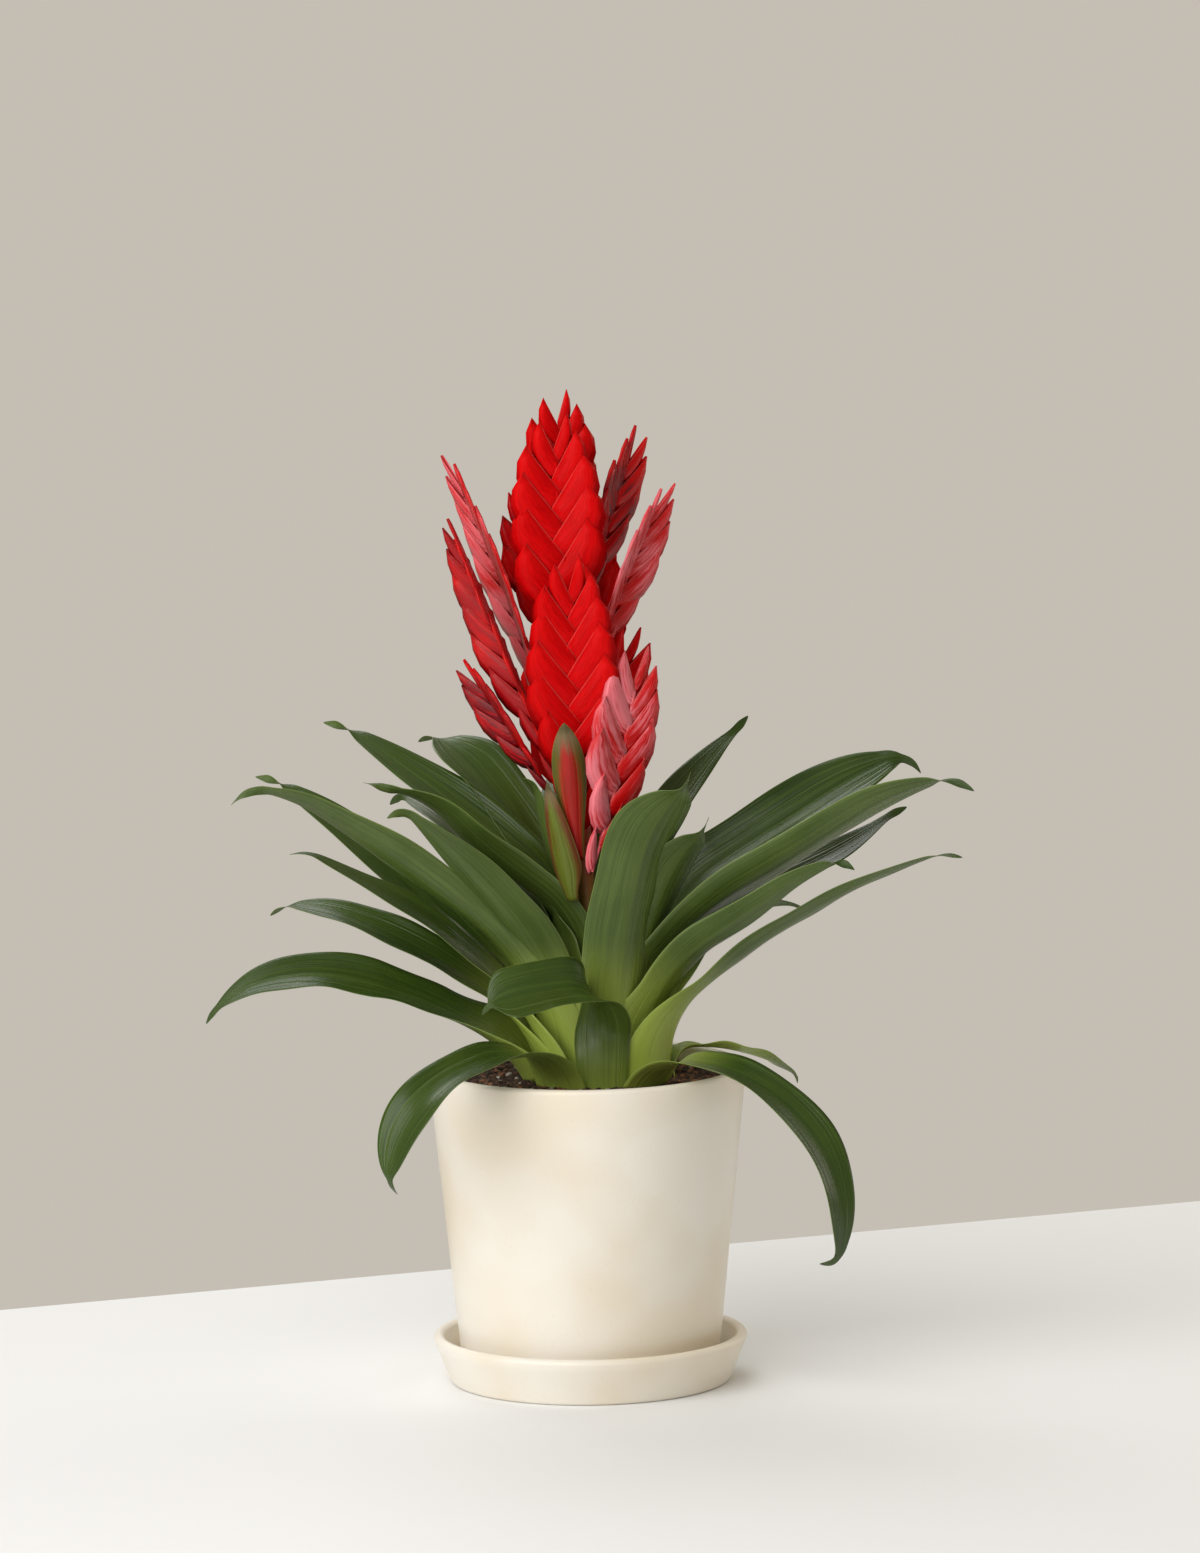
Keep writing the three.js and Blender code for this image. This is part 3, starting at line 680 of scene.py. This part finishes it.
def makeLeafSkin():
    look = leafLook

    # place across, distance from the foot, tone, whether it's the upper face, lines along the blade
    def parts(g):
        grown = g.split(g.stored("grown", "Vector"))
        across = g.sheet("ownUv")
        tone = grown.other("Y")
        return across, grown, tone, grown.other("Z"), g.join(across * 26.0, grown * 9.0, tone * 40.0)

    # how far a point is from the two long creases
    def fromCrease(across, tone):
        return abs(abs(across - 0.5) - look["creasePlace"] - tone * 0.08)

    def base(g):
        across, fromBase, tone, upper, lines = parts(g)
        fine = g.noise(lines, 2.2, 4.0, 0.6)
        broad = g.noise(lines, 0.45, 2.0)
        mottled = g.noise(g.place(), 38.0, 3.0)
        light = g.fade(fine * 0.5 + broad * 0.35 + mottled * 0.25, 0.43, 0.7)
        top = g.blend(light, look["top"], look["topLight"])
        under = g.blend(light, look["under"], look["underLight"])
        colour = g.blend(upper, under, top)
        colour = g.blend(tone * 0.35, colour, g.blend(upper, look["under"], look["topLight"]))
        young = g.fade(fromBase + (fine - 0.5) * 0.02, look["greenFrom"] * mm, look["paleUpTo"] * mm)
        colour = g.blend(young * 0.88, colour, look["sheath"])
        # painted highlight: a pale line along each crease, in patches
        crease = g.fade(fromCrease(across, tone), 0.014, 0.0)
        colour = g.blend(crease * g.fade(broad, 0.4, 0.6) * 0.5, colour, look["underLight"])
        # a pale margin line, partly the leaf's own paler margin and partly a painted highlight
        rim = g.fade(abs(across - 0.5), 0.485, 0.5)
        return g.blend(rim * 0.35, colour, look["margin"])

    def rough(g):
        across, fromBase, tone, upper, lines = parts(g)
        streak = g.noise(lines, 1.6, 3.0, 0.6)
        return g.fade(streak, 0.3, 0.7, 0.16, 0.38) + (1 - upper) * 0.06

    def skin(g):
        across, fromBase, tone, upper, lines = parts(g)
        veins = g.noise(lines, 3.0, 3.0, 0.55)
        flutes = g.noise(lines, 0.7, 2.0, 0.5)
        crease = g.fade(fromCrease(across, tone), 0.0, 0.03)
        return g.bump(veins * 0.3 + flutes + crease * 0.4, 0.35, 0.001)

    return newMaterial("leafSkin", base, rough, skin, **{"IOR": 1.45, "Specular IOR Level": 0.4})


leafSkin = makeLeafSkin()       # shared by all leaves
leafDice = random.Random(blade["seed"])
for leaf in leaves:
    makeLeaf(leaf, leafSkin, leafDice)
print("leaves made:", len(leaves))


# heights, radii and colours of the root crown and the stalk
stem = {
    "root": 112, "rootRadius": 9, "neckRadius": 5.2, "topRadius": 2.6, "top": (-6.6, 0, 392),
    "sides": 28, "rings": 9, "uneven": 0.02,
    "green": (0.20, 0.26, 0.05), "greenTo": 200, "red": (0.42, 0.03, 0.02), "redFrom": 300,
}


def makeStem():
    root = np.array([plantFoot[0], plantFoot[1], stem["root"]], float)
    foot = np.array(plantFoot, float)
    top = np.array(stem["top"], float)
    wide, neck, thin = stem["rootRadius"], stem["neckRadius"], stem["topRadius"]
    knots = [(root, 0.7 * wide), (root + [0, 0, 12], wide), (foot - [0, 0, 6], 0.85 * wide),
             (mix(foot, top, 0.1), neck), (mix(foot, top, 0.55), (neck + thin) / 2), (top, thin)]
    turns = np.linspace(0, 2 * math.pi, stem["sides"], endpoint=False)
    circle = np.stack([np.cos(turns), np.sin(turns), np.zeros_like(turns)], 1)
    points = [tuple(root * mm)]
    for k in range(len(knots) - 1):
        for t in np.linspace(0, 1, stem["rings"], endpoint=k == len(knots) - 2):
            centre = mix(knots[k][0], knots[k + 1][0], t)
            radius = mix(knots[k][1], knots[k + 1][1], smooth(t, 0, 1))
            radius = radius * (1 + stem["uneven"] * math.sin(centre[2] * 0.9))
            points += [tuple(p * mm) for p in centre + radius * circle]
    points.append(tuple(top * mm))
    sides = stem["sides"]
    rings = (len(points) - 2) // sides
    faces = [(0, 1 + (j + 1) % sides, 1 + j) for j in range(sides)]
    for i in range(rings - 1):
        low = 1 + i * sides
        faces += [(low + j, low + (j + 1) % sides, low + sides + (j + 1) % sides, low + sides + j)
                  for j in range(sides)]
    low = 1 + (rings - 1) * sides
    faces += [(low + j, low + (j + 1) % sides, len(points) - 1) for j in range(sides)]

    def base(g):
        place = g.place()
        height = g.split(place).other("Z")
        streak = g.noise(g.vector("MULTIPLY", place, (400, 400, 30)), 1.0)
        redder = g.fade(height + (streak - 0.5) * 0.05, stem["greenTo"] * mm, stem["redFrom"] * mm)
        return g.blend(redder, stem["green"], stem["red"])

    def rough(g):
        return g.noise(g.place(), 90.0) * 0.2 + 0.35

    piece = solidFrom("flowerStalk", points, faces)
    standFor(piece, "flower_stem", newMaterial("stalkSkin", base, rough))


makeStem()
print("flower stalk made")

bract = {
    "rows": 6,
    "across": (0, 0.34, 1),      # from the keel to the margin
    "keel": [(0.5, -3), (16, -4), (34, 20), (16.5, 38)],
    "edge": [(-3, 9), (2, 17), (9.5, 27), (16.5, 38)],
    "height": 38,
    "depth": 0.7,                # of each side, near its foot
    "swell": 0.75,               # how much deeper it gets
    "thickness": 0.22,
}


def bezier(knots, t):
    a, b, c, d = [np.array(k, float) for k in knots]
    t = t[:, None]
    return a * (1 - t) ** 3 + 3 * b * t * (1 - t) ** 2 + 3 * c * t * t * (1 - t) + d * t ** 3


# One bract, folded along its keel like a boat. X points out to its keel, Z along the spike.
def makeBract():
    t = np.linspace(0, 1, bract["rows"] + 1)
    keel, edge = bezier(bract["keel"], t), bezier(bract["edge"], t)
    q = np.array([-a for a in bract["across"][:0:-1]] + list(bract["across"]))
    a = np.abs(q)[None, :]
    flat = keel[:, None] * (1 - a[..., None]) + edge[:, None] * a[..., None]
    high = np.clip(flat[..., 1] / bract["height"], 0, 1)
    depth = (bract["depth"] + bract["swell"] * high) * np.sin(np.clip(a * 3.5, 0, 1) * math.pi / 2)
    depth = depth * mix(1, 0.65, smooth(t, 0.8, 1))[:, None]
    sign = np.sign(q)[None, :]
    outer = np.stack([flat[..., 0], sign * depth, flat[..., 1]], 2)
    shrink = np.clip(depth - bract["thickness"], 0.0, None)
    inner = np.stack([flat[..., 0] - bract["thickness"] * (1 - a), sign * shrink, flat[..., 1]], 2)
    points, faces = closedSheet(outer * mm, inner * mm)
    grid = np.stack(np.broadcast_arrays((q[None, :] + 1) / 2, t[:, None]), 2).reshape(-1, 2)
    piece = solidFrom("bractPattern", points, faces, np.concatenate([grid, grid]), "bractUv")
    piece.hide_render = True
    return piece


# Geometry nodes: bracts in two ranks along a curve, the largest ones near its middle.
def makeSpikeNodes():
    g, ask, ports = openNodes("bractsAlongSpike", [
        ("Spine", "Geometry", None), ("Bract", "Object", None), ("Bracts", "Int", 22),
        ("Width", "Float", 1.0), ("Length", "Float", 1.0), ("Facing", "Vector", (0, -1, 0)),
        ("Splay", "Float", 0.05), ("Wobble", "Float", 0.05), ("Fold", "Float", 0.1),
        ("Reach", "Float", 0.85), ("Stalk", "Float", 0.0018), ("Seed", "Int", 1),
        ("Skin", "Material", None)])
    growth = spikeGrowth
    spine = g.add("GeometryNodeMeshToCurve", None, {"Mesh": ask["Spine"]})
    points = g.add("GeometryNodePoints", None, {"Count": ask["Bracts"], "Radius": 0.0005})
    index = g.add("GeometryNodeInputIndex")
    share = index / (ask["Bracts"] - 1)
    place = g.add("GeometryNodeSampleCurve", {"mode": "FACTOR", "use_all_curves": True}, {
        "Curves": spine, "Factor": share ** growth["crowding"] * ask["Reach"]}, output="Position")
    tangent = place.other("Tangent")
    points = g.add("GeometryNodeSetPosition", None, {"Geometry": points, "Position": place})

    late = g.add("ShaderNodeMath", {"operation": "MAXIMUM"}, {0: share * 2.0 - 1.0, 1: 0.0})
    outline = g.fade(share, -0.05, growth["fullAt"], growth["lowest"], 1.0)
    outline = outline * (1.0 - late ** 1.9 * growth["narrowing"])
    odd = g.add("ShaderNodeMath", {"operation": "MODULO"}, {0: index, 1: 2.0})

    # an even draw from -size to size
    def dice(shift, size):
        return g.draw(index, ask["Seed"] + shift, size * -1.0, size)

    upright = g.add("FunctionNodeAlignRotationToVector", {"axis": "Z", "pivot_axis": "AUTO"}, {
        "Vector": tangent})
    faced = g.add("FunctionNodeAlignRotationToVector", {"axis": "Y", "pivot_axis": "Z"}, {
        "Rotation": upright, "Vector": ask["Facing"]})
    aside = odd * math.pi + (odd * 2.0 - 1.0) * ask["Fold"] + dice(3, ask["Wobble"] * 0.6)
    turned = g.add("FunctionNodeRotateRotation", {"rotation_space": "LOCAL"}, {
        "Rotation": faced, "Rotate By": g.join(0.0, 0.0, aside)})
    lean = ask["Splay"] * g.fade(share, 0.0, 0.5) * (1.0 - share * 0.8) + dice(1, ask["Wobble"] * 0.7)
    leaned = g.add("FunctionNodeRotateRotation", {"rotation_space": "LOCAL"}, {
        "Rotation": turned, "Rotate By": g.join(dice(2, ask["Wobble"] * 0.03), lean)})
    size = g.join(
        outline * ask["Width"] * (1 + dice(4, 0.04)),
        g.fade(share, 0.0, 1.0, 1.0, 0.75),
        (outline * 0.45 + 0.5) * ask["Length"])
    info = g.add("GeometryNodeObjectInfo", None, {"Object": ask["Bract"]}, output="Geometry")
    copies = g.add("GeometryNodeInstanceOnPoints", None, {
        "Points": points, "Instance": info, "Rotation": leaned, "Scale": size})
    copies = g.store(copies, "tone", g.draw(index, ask["Seed"] + 7))
    copies = g.store(copies, "rank", odd)
    ring = g.add("GeometryNodeCurvePrimitiveCircle", None, {"Resolution": 10, "Radius": ask["Stalk"]})
    cut = g.add("GeometryNodeTrimCurve", {"mode": "FACTOR"}, {"Curve": spine, "End": ask["Reach"]})
    stalk = g.add("GeometryNodeCurveToMesh", None, {
        "Curve": cut, "Profile Curve": ring, "Fill Caps": True})
    stalk = g.add("GeometryNodeSetShadeSmooth", None, {"Geometry": stalk})
    closeNodes(g, (stalk, copies), ask["Skin"])
    return g.tree, ports


# Runs the node tree on a start shape and gives back a plain mesh object.
def grow(name, start, tree, ports, **values):
    modifier = start.modifiers.new("grow", "NODES")
    modifier.node_group = tree
    for key, value in values.items():
        modifier[ports[key]] = value
    bpy.context.view_layer.update()
    graph = bpy.context.evaluated_depsgraph_get()
    mesh = bpy.data.meshes.new_from_object(
        start.evaluated_get(graph), preserve_all_data_layers=True, depsgraph=graph)
    start.modifiers.remove(modifier)
    piece = bpy.data.objects.new(name, mesh)
    bpy.context.scene.collection.objects.link(piece)
    bpy.data.objects.remove(start)
    return piece


# base and tip of each spike's spine, its full width, where its face points, its bow that way,
# how far its two ranks fold back, how far the bracts lean out, their size and their surface
spikes = [
    {"node": "spike_top", "base": (-7, 0, 398), "tip": (-10, 0, 497), "width": 36, "face": -80,
     "bow": 0, "fold": 5, "splay": 7, "bracts": 0.85, "skin": "matt"},
    {"node": "spike_front_upper", "base": (-8, -9, 350), "tip": (-12, -17, 487), "width": 49,
     "face": -92, "bow": 3, "fold": 2, "splay": -3, "bracts": 1, "skin": "matt"},
    {"node": "spike_front_lower", "base": (-2, -10, 270), "tip": (-5, -34, 418), "width": 48,
     "face": -94, "bow": 3, "fold": 2, "splay": -3, "bracts": 1, "skin": "matt"},
    {"node": "spike_right_front", "base": (4, -28, 262), "tip": (29, -20, 371), "width": 36,
     "face": -62, "bow": 5, "fold": 8, "splay": 5, "bracts": 0.95, "skin": "waxy"},
    {"node": "spike_left_upper", "base": (-13, 2, 318), "tip": (-65, 6, 465), "width": 38,
     "face": -162, "bow": -4, "fold": -8, "splay": 6, "bracts": 0.95, "skin": "satin"},
    {"node": "spike_left_middle", "base": (-10, -5, 300), "tip": (-64, -14, 436), "width": 31,
     "face": -153, "bow": -1, "fold": -33, "splay": 8, "bracts": 0.95, "skin": "shaded"},
    {"node": "spike_left_lower", "base": (-16, 3, 298), "tip": (-58, 8, 362), "width": 27,
     "face": -150, "bow": 0, "fold": -20, "splay": 5, "bracts": 0.78, "skin": "dusky"},
    {"node": "spike_right_upper", "base": (0, 6, 388), "tip": (29, 16, 477), "width": 32,
     "face": -30, "bow": 0, "fold": -8, "splay": 10, "bracts": 0.85, "skin": "dusky"},
    {"node": "spike_right_middle", "base": (2, 0, 350), "tip": (43, -2, 451), "width": 31,
     "face": -30, "bow": -2, "fold": -18, "splay": 9, "bracts": 0.95, "skin": "waxy"},
    {"node": "spike_right_lower", "base": (6, 6, 310), "tip": (25.5, 16, 377), "width": 34,
     "face": -45, "bow": 0, "fold": -10, "splay": 10, "bracts": 0.85, "skin": "matt"},
    {"node": "spike_back_upper", "base": (-5, 9, 352), "tip": (-27, 20, 450), "width": 38,
     "face": 110, "bow": 0, "fold": 5, "splay": 12, "bracts": 0.9, "skin": "dusky"},
    {"node": "spike_back_middle", "base": (-1, 9, 322), "tip": (2, 34, 430), "width": 42,
     "face": 88, "bow": 3, "fold": 6, "splay": 5, "bracts": 1, "skin": "matt"},
    {"node": "spike_back_lower", "base": (0, 9, 272), "tip": (-14, 38, 372), "width": 42,
     "face": 96, "bow": 3, "fold": 6, "splay": 5, "bracts": 1, "skin": "matt"},
]

spikeGrowth = {
    "spacing": 8.7,          # along the spine, from a bract to the next on the other side
    "fullWidth": 45.8,       # across two bracts at size 1
    "topBract": 21,          # length of the last bract
    "crowding": 0.86,        # below 1 sets the bracts closer together at the top
    "fullAt": 0.42,          # share of the way up at which they reach full width
    "lowest": 0.3,           # width of the first bract, as a share of the full width
    "narrowing": 0.66,       # lost again by the last one
    "wobble": 4,
    "stalk": 0.8,
    "knots": 12,
    "seed": 5,
    "seedStep": 20,
}

bractLook = {
    "red": (0.62, 0.002, 0.003),
    "deep": (0.46, 0.001, 0.002),
    "bright": (0.72, 0.006, 0.006),
    "edge": (0.80, 0.14, 0.12),
    "dusk": (0.10, 0.004, 0.009),
    "wax": (0.90, 0.26, 0.31),
}


# The third argument sets how much pale pink sheen, a painted highlight, a spike gets; dusk sets how dark
# its patches of painted shade are.
def makeBractSkin(name, specular, wax, dusk=0):
    look = bractLook

    def parts(g):
        across = g.sheet("bractUv")
        up = across.other("Y")
        tone = g.stored("tone")
        return across, up, tone, g.join(across * 24.0, up * 2.2, tone * 30.0)

    # patches where highlight and shade are painted, running over several bracts, mostly on one rank
    def paintedLightPatch(g, lines):
        patch = g.noise(g.place(), 34.0, 2.0) * 0.5 + g.noise(lines, 0.8, 3.0, 0.6) * 0.5
        return g.fade(patch - g.stored("rank") * 0.1, 0.36, 0.56)

    def base(g):
        across, up, tone, lines = parts(g)
        fine = g.noise(lines, 1.6, 3.0, 0.6)
        body = g.blend(g.fade(fine, 0.3, 0.72), look["deep"], look["red"])
        tipward = g.fade(up + (fine - 0.5) * 0.3, 0.35, 1.0)
        body = g.blend(tipward * (0.25 + tone * 0.4), body, look["bright"])
        side = abs(across - 0.5) * 2.0
        # a pale margin line, partly the bract's own paler margin and partly a painted highlight
        rim = g.fade(side, 0.965, 1.0) * g.fade(up, 0.0, 0.05)
        # painted shade: the patches darkened towards the dusk colour
        if dusk:
            body = g.blend(paintedLightPatch(g, lines) * dusk, body, look["dusk"])
        # painted highlight: a pale pink sheen blended into the patches
        if wax:
            body = g.blend(paintedLightPatch(g, lines) * wax, body, look["wax"])
        return g.blend(rim * 0.4, body, look["edge"])

    def rough(g):
        across, up, tone, lines = parts(g)
        return g.fade(g.noise(lines, 1.2, 2.0), 0.3, 0.7, 0.22, 0.42)

    def skin(g):
        across, up, tone, lines = parts(g)
        return g.bump(g.noise(lines, 1.0, 3.0, 0.6), 0.2, 0.0007)

    return newMaterial(name, base, rough, skin, **{"IOR": 1.45, "Specular IOR Level": specular})


def spineOf(spike):
    base, tip = np.array(spike["base"], float), np.array(spike["tip"], float)
    face = math.radians(spike["face"])
    facing = np.array([math.cos(face), math.sin(face), 0])
    t = np.linspace(0, 1, spikeGrowth["knots"])[:, None]
    return base + (tip - base) * t + facing * spike["bow"] * 4 * t * (1 - t), facing


def makeSpikes():
    growth = spikeGrowth
    pattern = makeBract()
    tree, ports = makeSpikeNodes()
    # the skins differ in specular level, in painted sheen and in painted shade
    skins = {
        "matt": makeBractSkin("bractSkin", 0.05, 0),
        "satin": makeBractSkin("faintPaintedSheenBractSkin", 0.4, 0.42),
        "waxy": makeBractSkin("heavyPaintedSheenBractSkin", 0.4, 0.72),
        "shaded": makeBractSkin("shadedBractSkin", 0.3, 0, 0.5),
        "dusky": makeBractSkin("duskyBractSkin", 0.25, 0, 0.9)}
    for k, spike in enumerate(spikes):
        knots, facing = spineOf(spike)
        mesh = bpy.data.meshes.new("spine")
        mesh.from_pydata([tuple(p * mm) for p in knots], [(i, i + 1) for i in range(len(knots) - 1)], [])
        start = bpy.data.objects.new("spine", mesh)
        bpy.context.scene.collection.objects.link(start)
        skin = skins[spike["skin"]]
        length = float(np.linalg.norm(knots[-1] - knots[0]))
        reach = 1 - growth["topBract"] * spike["bracts"] / length
        piece = grow(
            camel(spike["node"]), start, tree, ports,
            Bract=pattern, Bracts=int(round(length * reach / growth["spacing"] / spike["bracts"])) + 1,
            Width=spike["width"] / growth["fullWidth"], Length=spike["bracts"], Facing=tuple(facing),
            Splay=math.radians(spike["splay"]), Wobble=math.radians(growth["wobble"]),
            Fold=math.radians(spike["fold"]), Reach=reach, Stalk=growth["stalk"] * mm,
            Seed=growth["seed"] + growth["seedStep"] * k, Skin=skin)
        standFor(piece, spike["node"], skin)
    bpy.data.objects.remove(pattern)


makeSpikes()
print("flower spikes made:", len(spikes))


# base and tip, full width, where the face points, where along it it's broadest, and its colours
guards = [
    {"node": "guard_bract_front", "base": (-3, -17, 266), "tip": (-9, -38, 338), "width": 20,
     "face": -92, "broadest": 0.72, "skin": "red"},
    {"node": "guard_bract_left", "base": (-6, -19, 246), "tip": (-18, -29, 307), "width": 17,
     "face": -112, "broadest": 0.3, "skin": "green"},
    {"node": "guard_bract_right", "base": (10, 6, 240), "tip": (18, 13, 292), "width": 18,
     "face": 20, "broadest": 0.6, "skin": "red"},
]

guardLook = {
    "rows": 30, "columns": 13, "thickness": 0.9, "edge": 0.4, "camber": 11,
    "bow": 1.5, "foot": 0.34, "bluntness": 0.12, "keel": 0.16, "narrowest": 0.5,
    "red": (0.40, 0.012, 0.008), "olive": (0.11, 0.115, 0.02), "dark": (0.10, 0.012, 0.006),
    "green": (0.13, 0.17, 0.018), "rust": (0.16, 0.05, 0.015), "dry": (0.19, 0.13, 0.06),
    "tip": (0.09, 0.075, 0.025), "yellow": (0.30, 0.28, 0.07),
}


def makeGuard(guard, material):
    look = guardLook
    s, u = np.linspace(0, 1, look["rows"]), np.linspace(-1, 1, look["columns"])
    base, tip = np.array(guard["base"], float), np.array(guard["tip"], float)
    forward = (tip - base) / np.linalg.norm(tip - base)
    face = math.radians(guard["face"])
    facing = np.array([math.cos(face), math.sin(face), 0])
    side = np.cross(forward, facing)
    side = side / np.linalg.norm(side)
    normal = np.cross(forward, side)
    peak = guard["broadest"]
    blunt = look["bluntness"]
    taper = ((s - peak + blunt) / (1 + blunt - peak)).clip(0) ** 1.9
    swell = mix(look["foot"], 1, smooth(s, 0, peak)) * np.clip(1 - taper, 0, 1) ** 0.8
    width = np.maximum(guard["width"] * swell, look["narrowest"])
    reach = width[:, None] / 2 * u[None, :]
    turn = reach / look["camber"]
    across = look["camber"] * np.sin(turn)
    lift = look["camber"] * (1 - np.cos(turn)) + look["keel"] * np.abs(reach)
    centre = base + (tip - base) * s[:, None] - normal * (look["bow"] * np.sin(math.pi * s))[:, None]
    half = mix(look["thickness"], look["edge"], u[None, :] ** 2) / 2
    flat = centre[:, None] + side * across[..., None]
    inner = flat + normal * (lift + half)[..., None]
    outer = flat + normal * (lift - half)[..., None]
    points, faces = closedSheet(inner[:, ::-1] * mm, outer[:, ::-1] * mm)
    grid = np.stack(np.broadcast_arrays(0.5 + u[None, :] / 2, s[:, None]), 2)[:, ::-1].reshape(-1, 2)
    piece = solidFrom(camel(guard["node"]), points, faces, np.concatenate([grid, grid]))
    standFor(piece, guard["node"], material)


def makeGuardSkin(name, middle, margin):
    look = guardLook

    # share of the way from the midrib to an edge, share of the length, and fine lines
    def parts(g):
        across = g.sheet("ownUv")
        up = across.other("Y")
        return abs(across - 0.5) * 2.0, up, g.noise(g.join(across * 22.0, up * 2.5), 1.2, 3.0, 0.6)

    def base(g):
        side, up, fine = parts(g)
        edge = g.fade(side + up * 0.5 + (fine - 0.5) * 0.9, 0.55, 1.1)
        body = g.blend(edge, look[middle], look[margin])
        body = g.blend(g.fade(fine, 0.45, 0.7) * 0.4, body, look["dark"])
        # painted highlight: a grey-brown band below the tip
        body = g.blend(g.fade(up + (fine - 0.5) * 0.2, 0.74, 0.9), body, look["dry"])
        body = g.blend(g.fade(up, 0.9, 0.97), body, look["tip"])
        return g.blend(g.fade(side, 0.93, 1.0) * 0.6, body, look["yellow"])

    def rough(g):
        side, up, fine = parts(g)
        return g.fade(fine, 0.3, 0.7, 0.28, 0.46)

    def skin(g):
        side, up, fine = parts(g)
        return g.bump(fine * 0.5 + g.fade(abs(side - 0.42), 0.0, 0.12) * 0.5, 0.45, 0.0008)

    return newMaterial(name, base, rough, skin, **{"Specular IOR Level": 0.3})


guardSkins = {"red": makeGuardSkin("redGuardSkin", "red", "olive"),
              "green": makeGuardSkin("greenGuardSkin", "green", "rust")}
for guard in guards:
    makeGuard(guard, guardSkins[guard["skin"]])
print("guard bracts made:", len(guards))


soil = {
    "edge": 151.5, "crown": 154, "turns": 120, "reach": 71, "ringStep": 2,
    "lowest": -1.1, "highest": 0.2,      # how rough its top is
    "roughFrom": 0.2, "crumbsFrom": -0.5,      # above its edge
    "dark": (0.035, 0.02, 0.013), "brown": (0.12, 0.065, 0.036), "bark": (0.32, 0.14, 0.06),
    "white": (0.62, 0.57, 0.48),
    "crumbs": 5200, "smallest": 0.35, "largest": 2.4, "seed": 11,
    "topArea": 0.0168,                   # square metres
}


def makeBed():
    p = pottery
    low = potBase + p["potFloor"] + p["gap"]
    corner = potBase + p["potFloor"] + p["inCorner"]
    inset = 2 * p["gap"]
    side = (potInside(corner) - inset, corner)
    edge = (potInside(soil["edge"]) - inset, soil["edge"])
    top = [(r, mix(soil["crown"], soil["edge"], (r / (soil["reach"] + 1)) ** 4))
           for r in range(soil["reach"], soil["ringStep"], -soil["ringStep"])]
    profile = [(0, low), (potInside(low) - p["inCorner"] - inset, low), (side[0], corner + p["gap"]),
               *straight(side, edge, 6), edge, *top, (0, soil["crown"])]
    bed = turnedPiece("mixBed", profile, soil["turns"])
    dice = np.random.default_rng(soil["seed"])
    points = np.zeros(len(bed.data.vertices) * 3, np.float32)
    bed.data.vertices.foreach_get("co", points)
    points = points.reshape(-1, 3)
    high = points[:, 2] > (soil["edge"] + soil["roughFrom"]) * mm
    points[high, 2] += dice.uniform(soil["lowest"], soil["highest"], high.sum()) * mm
    bed.data.vertices.foreach_set("co", points.ravel())
    bed.data.update()
    return bed


# Geometry nodes: crumbs of bark and grit, strewn over the top of the bed.
def makeCrumbs(bed, material):
    g, ask, ports = openNodes("crumbsOnBed", [
        ("Bed", "Geometry", None), ("Level", "Float", 0.15), ("Crumbs", "Int", 3000),
        ("Smallest", "Float", 0.0005), ("Largest", "Float", 0.003), ("Seed", "Int", 1),
        ("Skin", "Material", None)])
    height = g.split(g.add("GeometryNodeInputPosition")).other("Z")
    onTop = g.add("FunctionNodeCompare", {"data_type": "FLOAT", "operation": "GREATER_THAN"}, {
        0: height, 1: ask["Level"]})
    density = ask["Crumbs"] / soil["topArea"]
    points = g.add("GeometryNodeDistributePointsOnFaces", {"distribute_method": "RANDOM"}, {
        "Mesh": ask["Bed"], "Selection": onTop, "Density": density, "Seed": ask["Seed"]}, "Points")
    index = g.add("GeometryNodeInputIndex")

    def dice(shift, low, high):
        return g.draw(index, ask["Seed"] + shift, low, high)

    spread = dice(1, 0.0, 1.0) ** 2.6
    size = ask["Smallest"] + spread * (ask["Largest"] - ask["Smallest"])
    scale = g.join(size * dice(2, 0.8, 1.9), size * dice(3, 0.6, 1.1), size * dice(4, 0.45, 0.9))
    turn = g.join(dice(5, -0.5, 0.5), dice(6, -0.5, 0.5), dice(7, 0.0, 6.28))
    lump = g.add("GeometryNodeMeshIcoSphere", None, {"Radius": 1.0, "Subdivisions": 1})
    copies = g.add("GeometryNodeInstanceOnPoints", None, {
        "Points": points, "Instance": lump, "Rotation": turn, "Scale": scale})
    copies = g.store(copies, "tone", dice(8, 0.05, 1.0))
    closeNodes(g, (ask["Bed"], copies), ask["Skin"])
    piece = grow(
        "pottingMix", bed, g.tree, ports,
        Level=(soil["edge"] + soil["crumbsFrom"]) * mm, Crumbs=soil["crumbs"],
        Smallest=soil["smallest"] * mm, Largest=soil["largest"] * mm, Seed=soil["seed"], Skin=material)
    standFor(piece, "potting_mix", material)


def makeSoilSkin():
    def base(g):
        tone = g.stored("tone")
        grain = g.noise(g.place(), 700.0, 4.0, 0.7)
        earth = g.blend(g.fade(grain, 0.35, 0.7), soil["dark"], soil["brown"])
        chips = g.ramp(tone, (0.0, soil["dark"]), (0.35, soil["dark"]), (0.55, soil["brown"]),
                       (0.78, soil["bark"]), (0.93, soil["bark"]), (0.955, soil["white"]))
        chips.socket.node.color_ramp.interpolation = "CONSTANT"
        return g.blend(g.fade(tone, 0.0, 0.04), earth, g.blend(0.3, chips, earth))

    def rough(g):
        return g.noise(g.place(), 500.0) * 0.2 + 0.75

    def skin(g):
        return g.bump(g.noise(g.place(), 900.0, 4.0, 0.7), 0.9, 0.0012)

    return newMaterial("mixSkin", base, rough, skin, **{"IOR": 1.4})


makeCrumbs(makeBed(), makeSoilSkin())
print("potting mix made")
